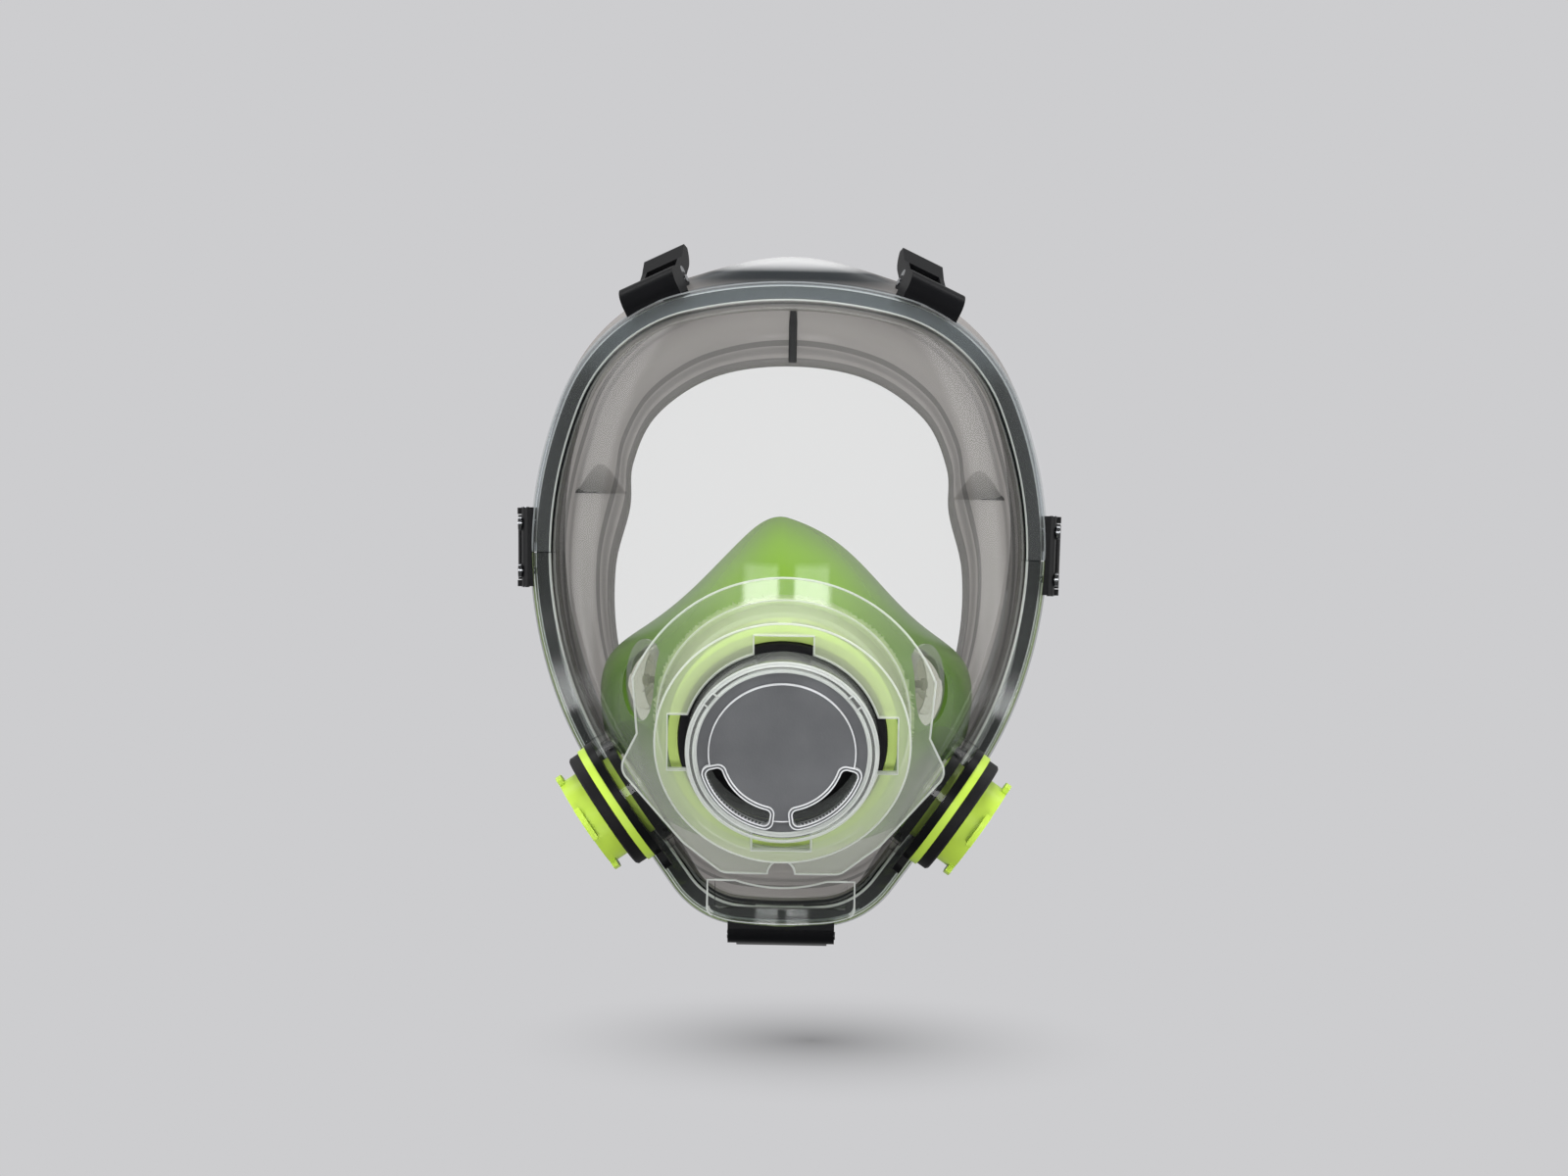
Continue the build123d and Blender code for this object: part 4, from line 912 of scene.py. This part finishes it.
# ---------------------------------------------------------------- studio
def shadow_floor():
    """Floor that shows only the soft pool of shade under the floating mask."""
    bpy.ops.mesh.primitive_plane_add(size=FLOOR_SIZE, location=(*SHADOW_CENTRE, FLOOR_Z))
    floor = bpy.context.object
    floor.name = "floor"
    mat, tree, output = new_material("floor_shade")
    coordinates = tree.nodes.new("ShaderNodeTexCoord")
    fit = node(tree, "ShaderNodeMapping", Scale=(1 / SHADOW_REACH[0], 1 / SHADOW_REACH[1], 1.0))
    tree.links.new(coordinates.outputs["Object"], fit.inputs["Vector"])
    pool = tree.nodes.new("ShaderNodeTexGradient")
    pool.gradient_type = "QUADRATIC_SPHERE"
    tree.links.new(fit.outputs["Vector"], pool.inputs["Vector"])
    strength = reckon(tree, "MULTIPLY", pool.outputs["Fac"], SHADOW_SHARE)
    clear = tree.nodes.new("ShaderNodeBsdfTransparent")
    dark = node(tree, "ShaderNodeEmission", Color=rgba(SHADOW_TONE), Strength=1.0)
    whole = mix_shaders(tree, strength, clear, dark)
    tree.links.new(whole.outputs[0], output.inputs["Surface"])
    floor.data.materials.append(mat)


def area_light(name, place, aim, size, power):
    """Soft box that points at a place; it lights the mask but isn't mirrored in it as a hard square."""
    light = bpy.data.lights.new(name, "AREA")
    light.shape = "RECTANGLE"
    light.size, light.size_y = size
    light.energy = power
    lamp = bpy.data.objects.new(name, light)
    bpy.context.scene.collection.objects.link(lamp)
    lamp.location = place
    lamp.rotation_euler = (Vector(aim) - Vector(place)).to_track_quat("-Z", "Y").to_euler()
    lamp.visible_glossy = False


def slab(tree, source, edges, strength):
    """Value that is strength between two soft edges and 0 outside them."""
    nearer, farther = edges
    inside = smooth_band(tree, source, *nearer, strength)
    return reckon(tree, "SUBTRACT", inside, smooth_band(tree, source, *farther, strength))


def mirrored_light(tree):
    """Strength of what glossy pieces mirror, by direction."""
    aside, back, up = (coordinate(tree, axis, "Generated") for axis in "XYZ")
    ring = slab(tree, back, MIRROR_RING, MIRROR_STRENGTH)
    ring = reckon(tree, "MULTIPLY", ring, smooth_band(tree, up, *MIRROR_RISE))
    bands = reckon(tree, "ADD", ring, smooth_band(tree, back, *MIRROR_BACK))
    across = slab(tree, reckon(tree, "ABSOLUTE", aside), WINDOW_X, WINDOW_STRENGTH)
    windows = reckon(tree, "MULTIPLY", across, slab(tree, up, WINDOW_Z, 1.0))
    windows = reckon(tree, "MULTIPLY", windows, smooth_band(tree, back, *WINDOW_Y, 1.0))
    return reckon(tree, "ADD", reckon(tree, "ADD", bands, windows), MIRROR_FRONT)


def studio():
    """Pale backdrop, painted lighter where it is seen through clear walls as a painted sheen, even fill from
    the world, soft bands of light to be mirrored, and soft boxes.
    """
    world = bpy.data.worlds.new("studio")
    bpy.context.scene.world = world
    world.use_nodes = True
    tree = world.node_tree
    tree.nodes.clear()
    output = tree.nodes.new("ShaderNodeOutputWorld")
    path = tree.nodes.new("ShaderNodeLightPath")
    # Painted sheen: lighter backdrop behind two or more clear walls
    through = reckon(tree, "GREATER_THAN", path.outputs["Transparent Depth"], SEEN_THROUGH)
    tone = ramp(tree, through, BACKDROP, BACKDROP_THROUGH_SHEEN, 0.0, 1.0)
    seen = node(tree, "ShaderNodeBackground", Strength=1.0)
    tree.links.new(tone.outputs["Color"], seen.inputs["Color"])
    fill = node(tree, "ShaderNodeBackground", Color=rgba(FILL), Strength=FILL_STRENGTH)
    mirrored = node(tree, "ShaderNodeBackground", Color=(1.0, 1.0, 1.0, 1.0))
    tree.links.new(mirrored_light(tree), mirrored.inputs["Strength"])
    lighting = mix_shaders(tree, path.outputs["Is Glossy Ray"], fill, mirrored)
    shown = reckon(tree, "MAXIMUM", path.outputs["Is Camera Ray"], path.outputs["Is Transmission Ray"])
    whole = mix_shaders(tree, shown, lighting, seen)
    tree.links.new(whole.outputs[0], output.inputs["Surface"])
    for lamp in LAMPS:
        area_light(*lamp)


def camera():
    """Long lens, almost square on, with a slight roll."""
    data = bpy.data.cameras.new("camera")
    data.lens = CAMERA_LENS
    data.sensor_width = CAMERA_SENSOR
    data.clip_start, data.clip_end = CAMERA_CLIP
    cam = bpy.data.objects.new("camera", data)
    bpy.context.scene.collection.objects.link(cam)
    back = Vector((math.sin(CAMERA_AZIMUTH), -math.cos(CAMERA_AZIMUTH), 0.0))
    cam.location = AIM + back * CAMERA_DISTANCE
    turn = (-back).to_track_quat("-Z", "Y").to_matrix() @ Matrix.Rotation(CAMERA_ROLL, 3, "Z")
    cam.rotation_euler = turn.to_euler()
    bpy.context.scene.camera = cam


shadow_floor()
studio()
camera()
bpy.context.scene.cycles.transparent_max_bounces = LAYERS_SEEN
bpy.context.scene.view_settings.view_transform = "Standard"
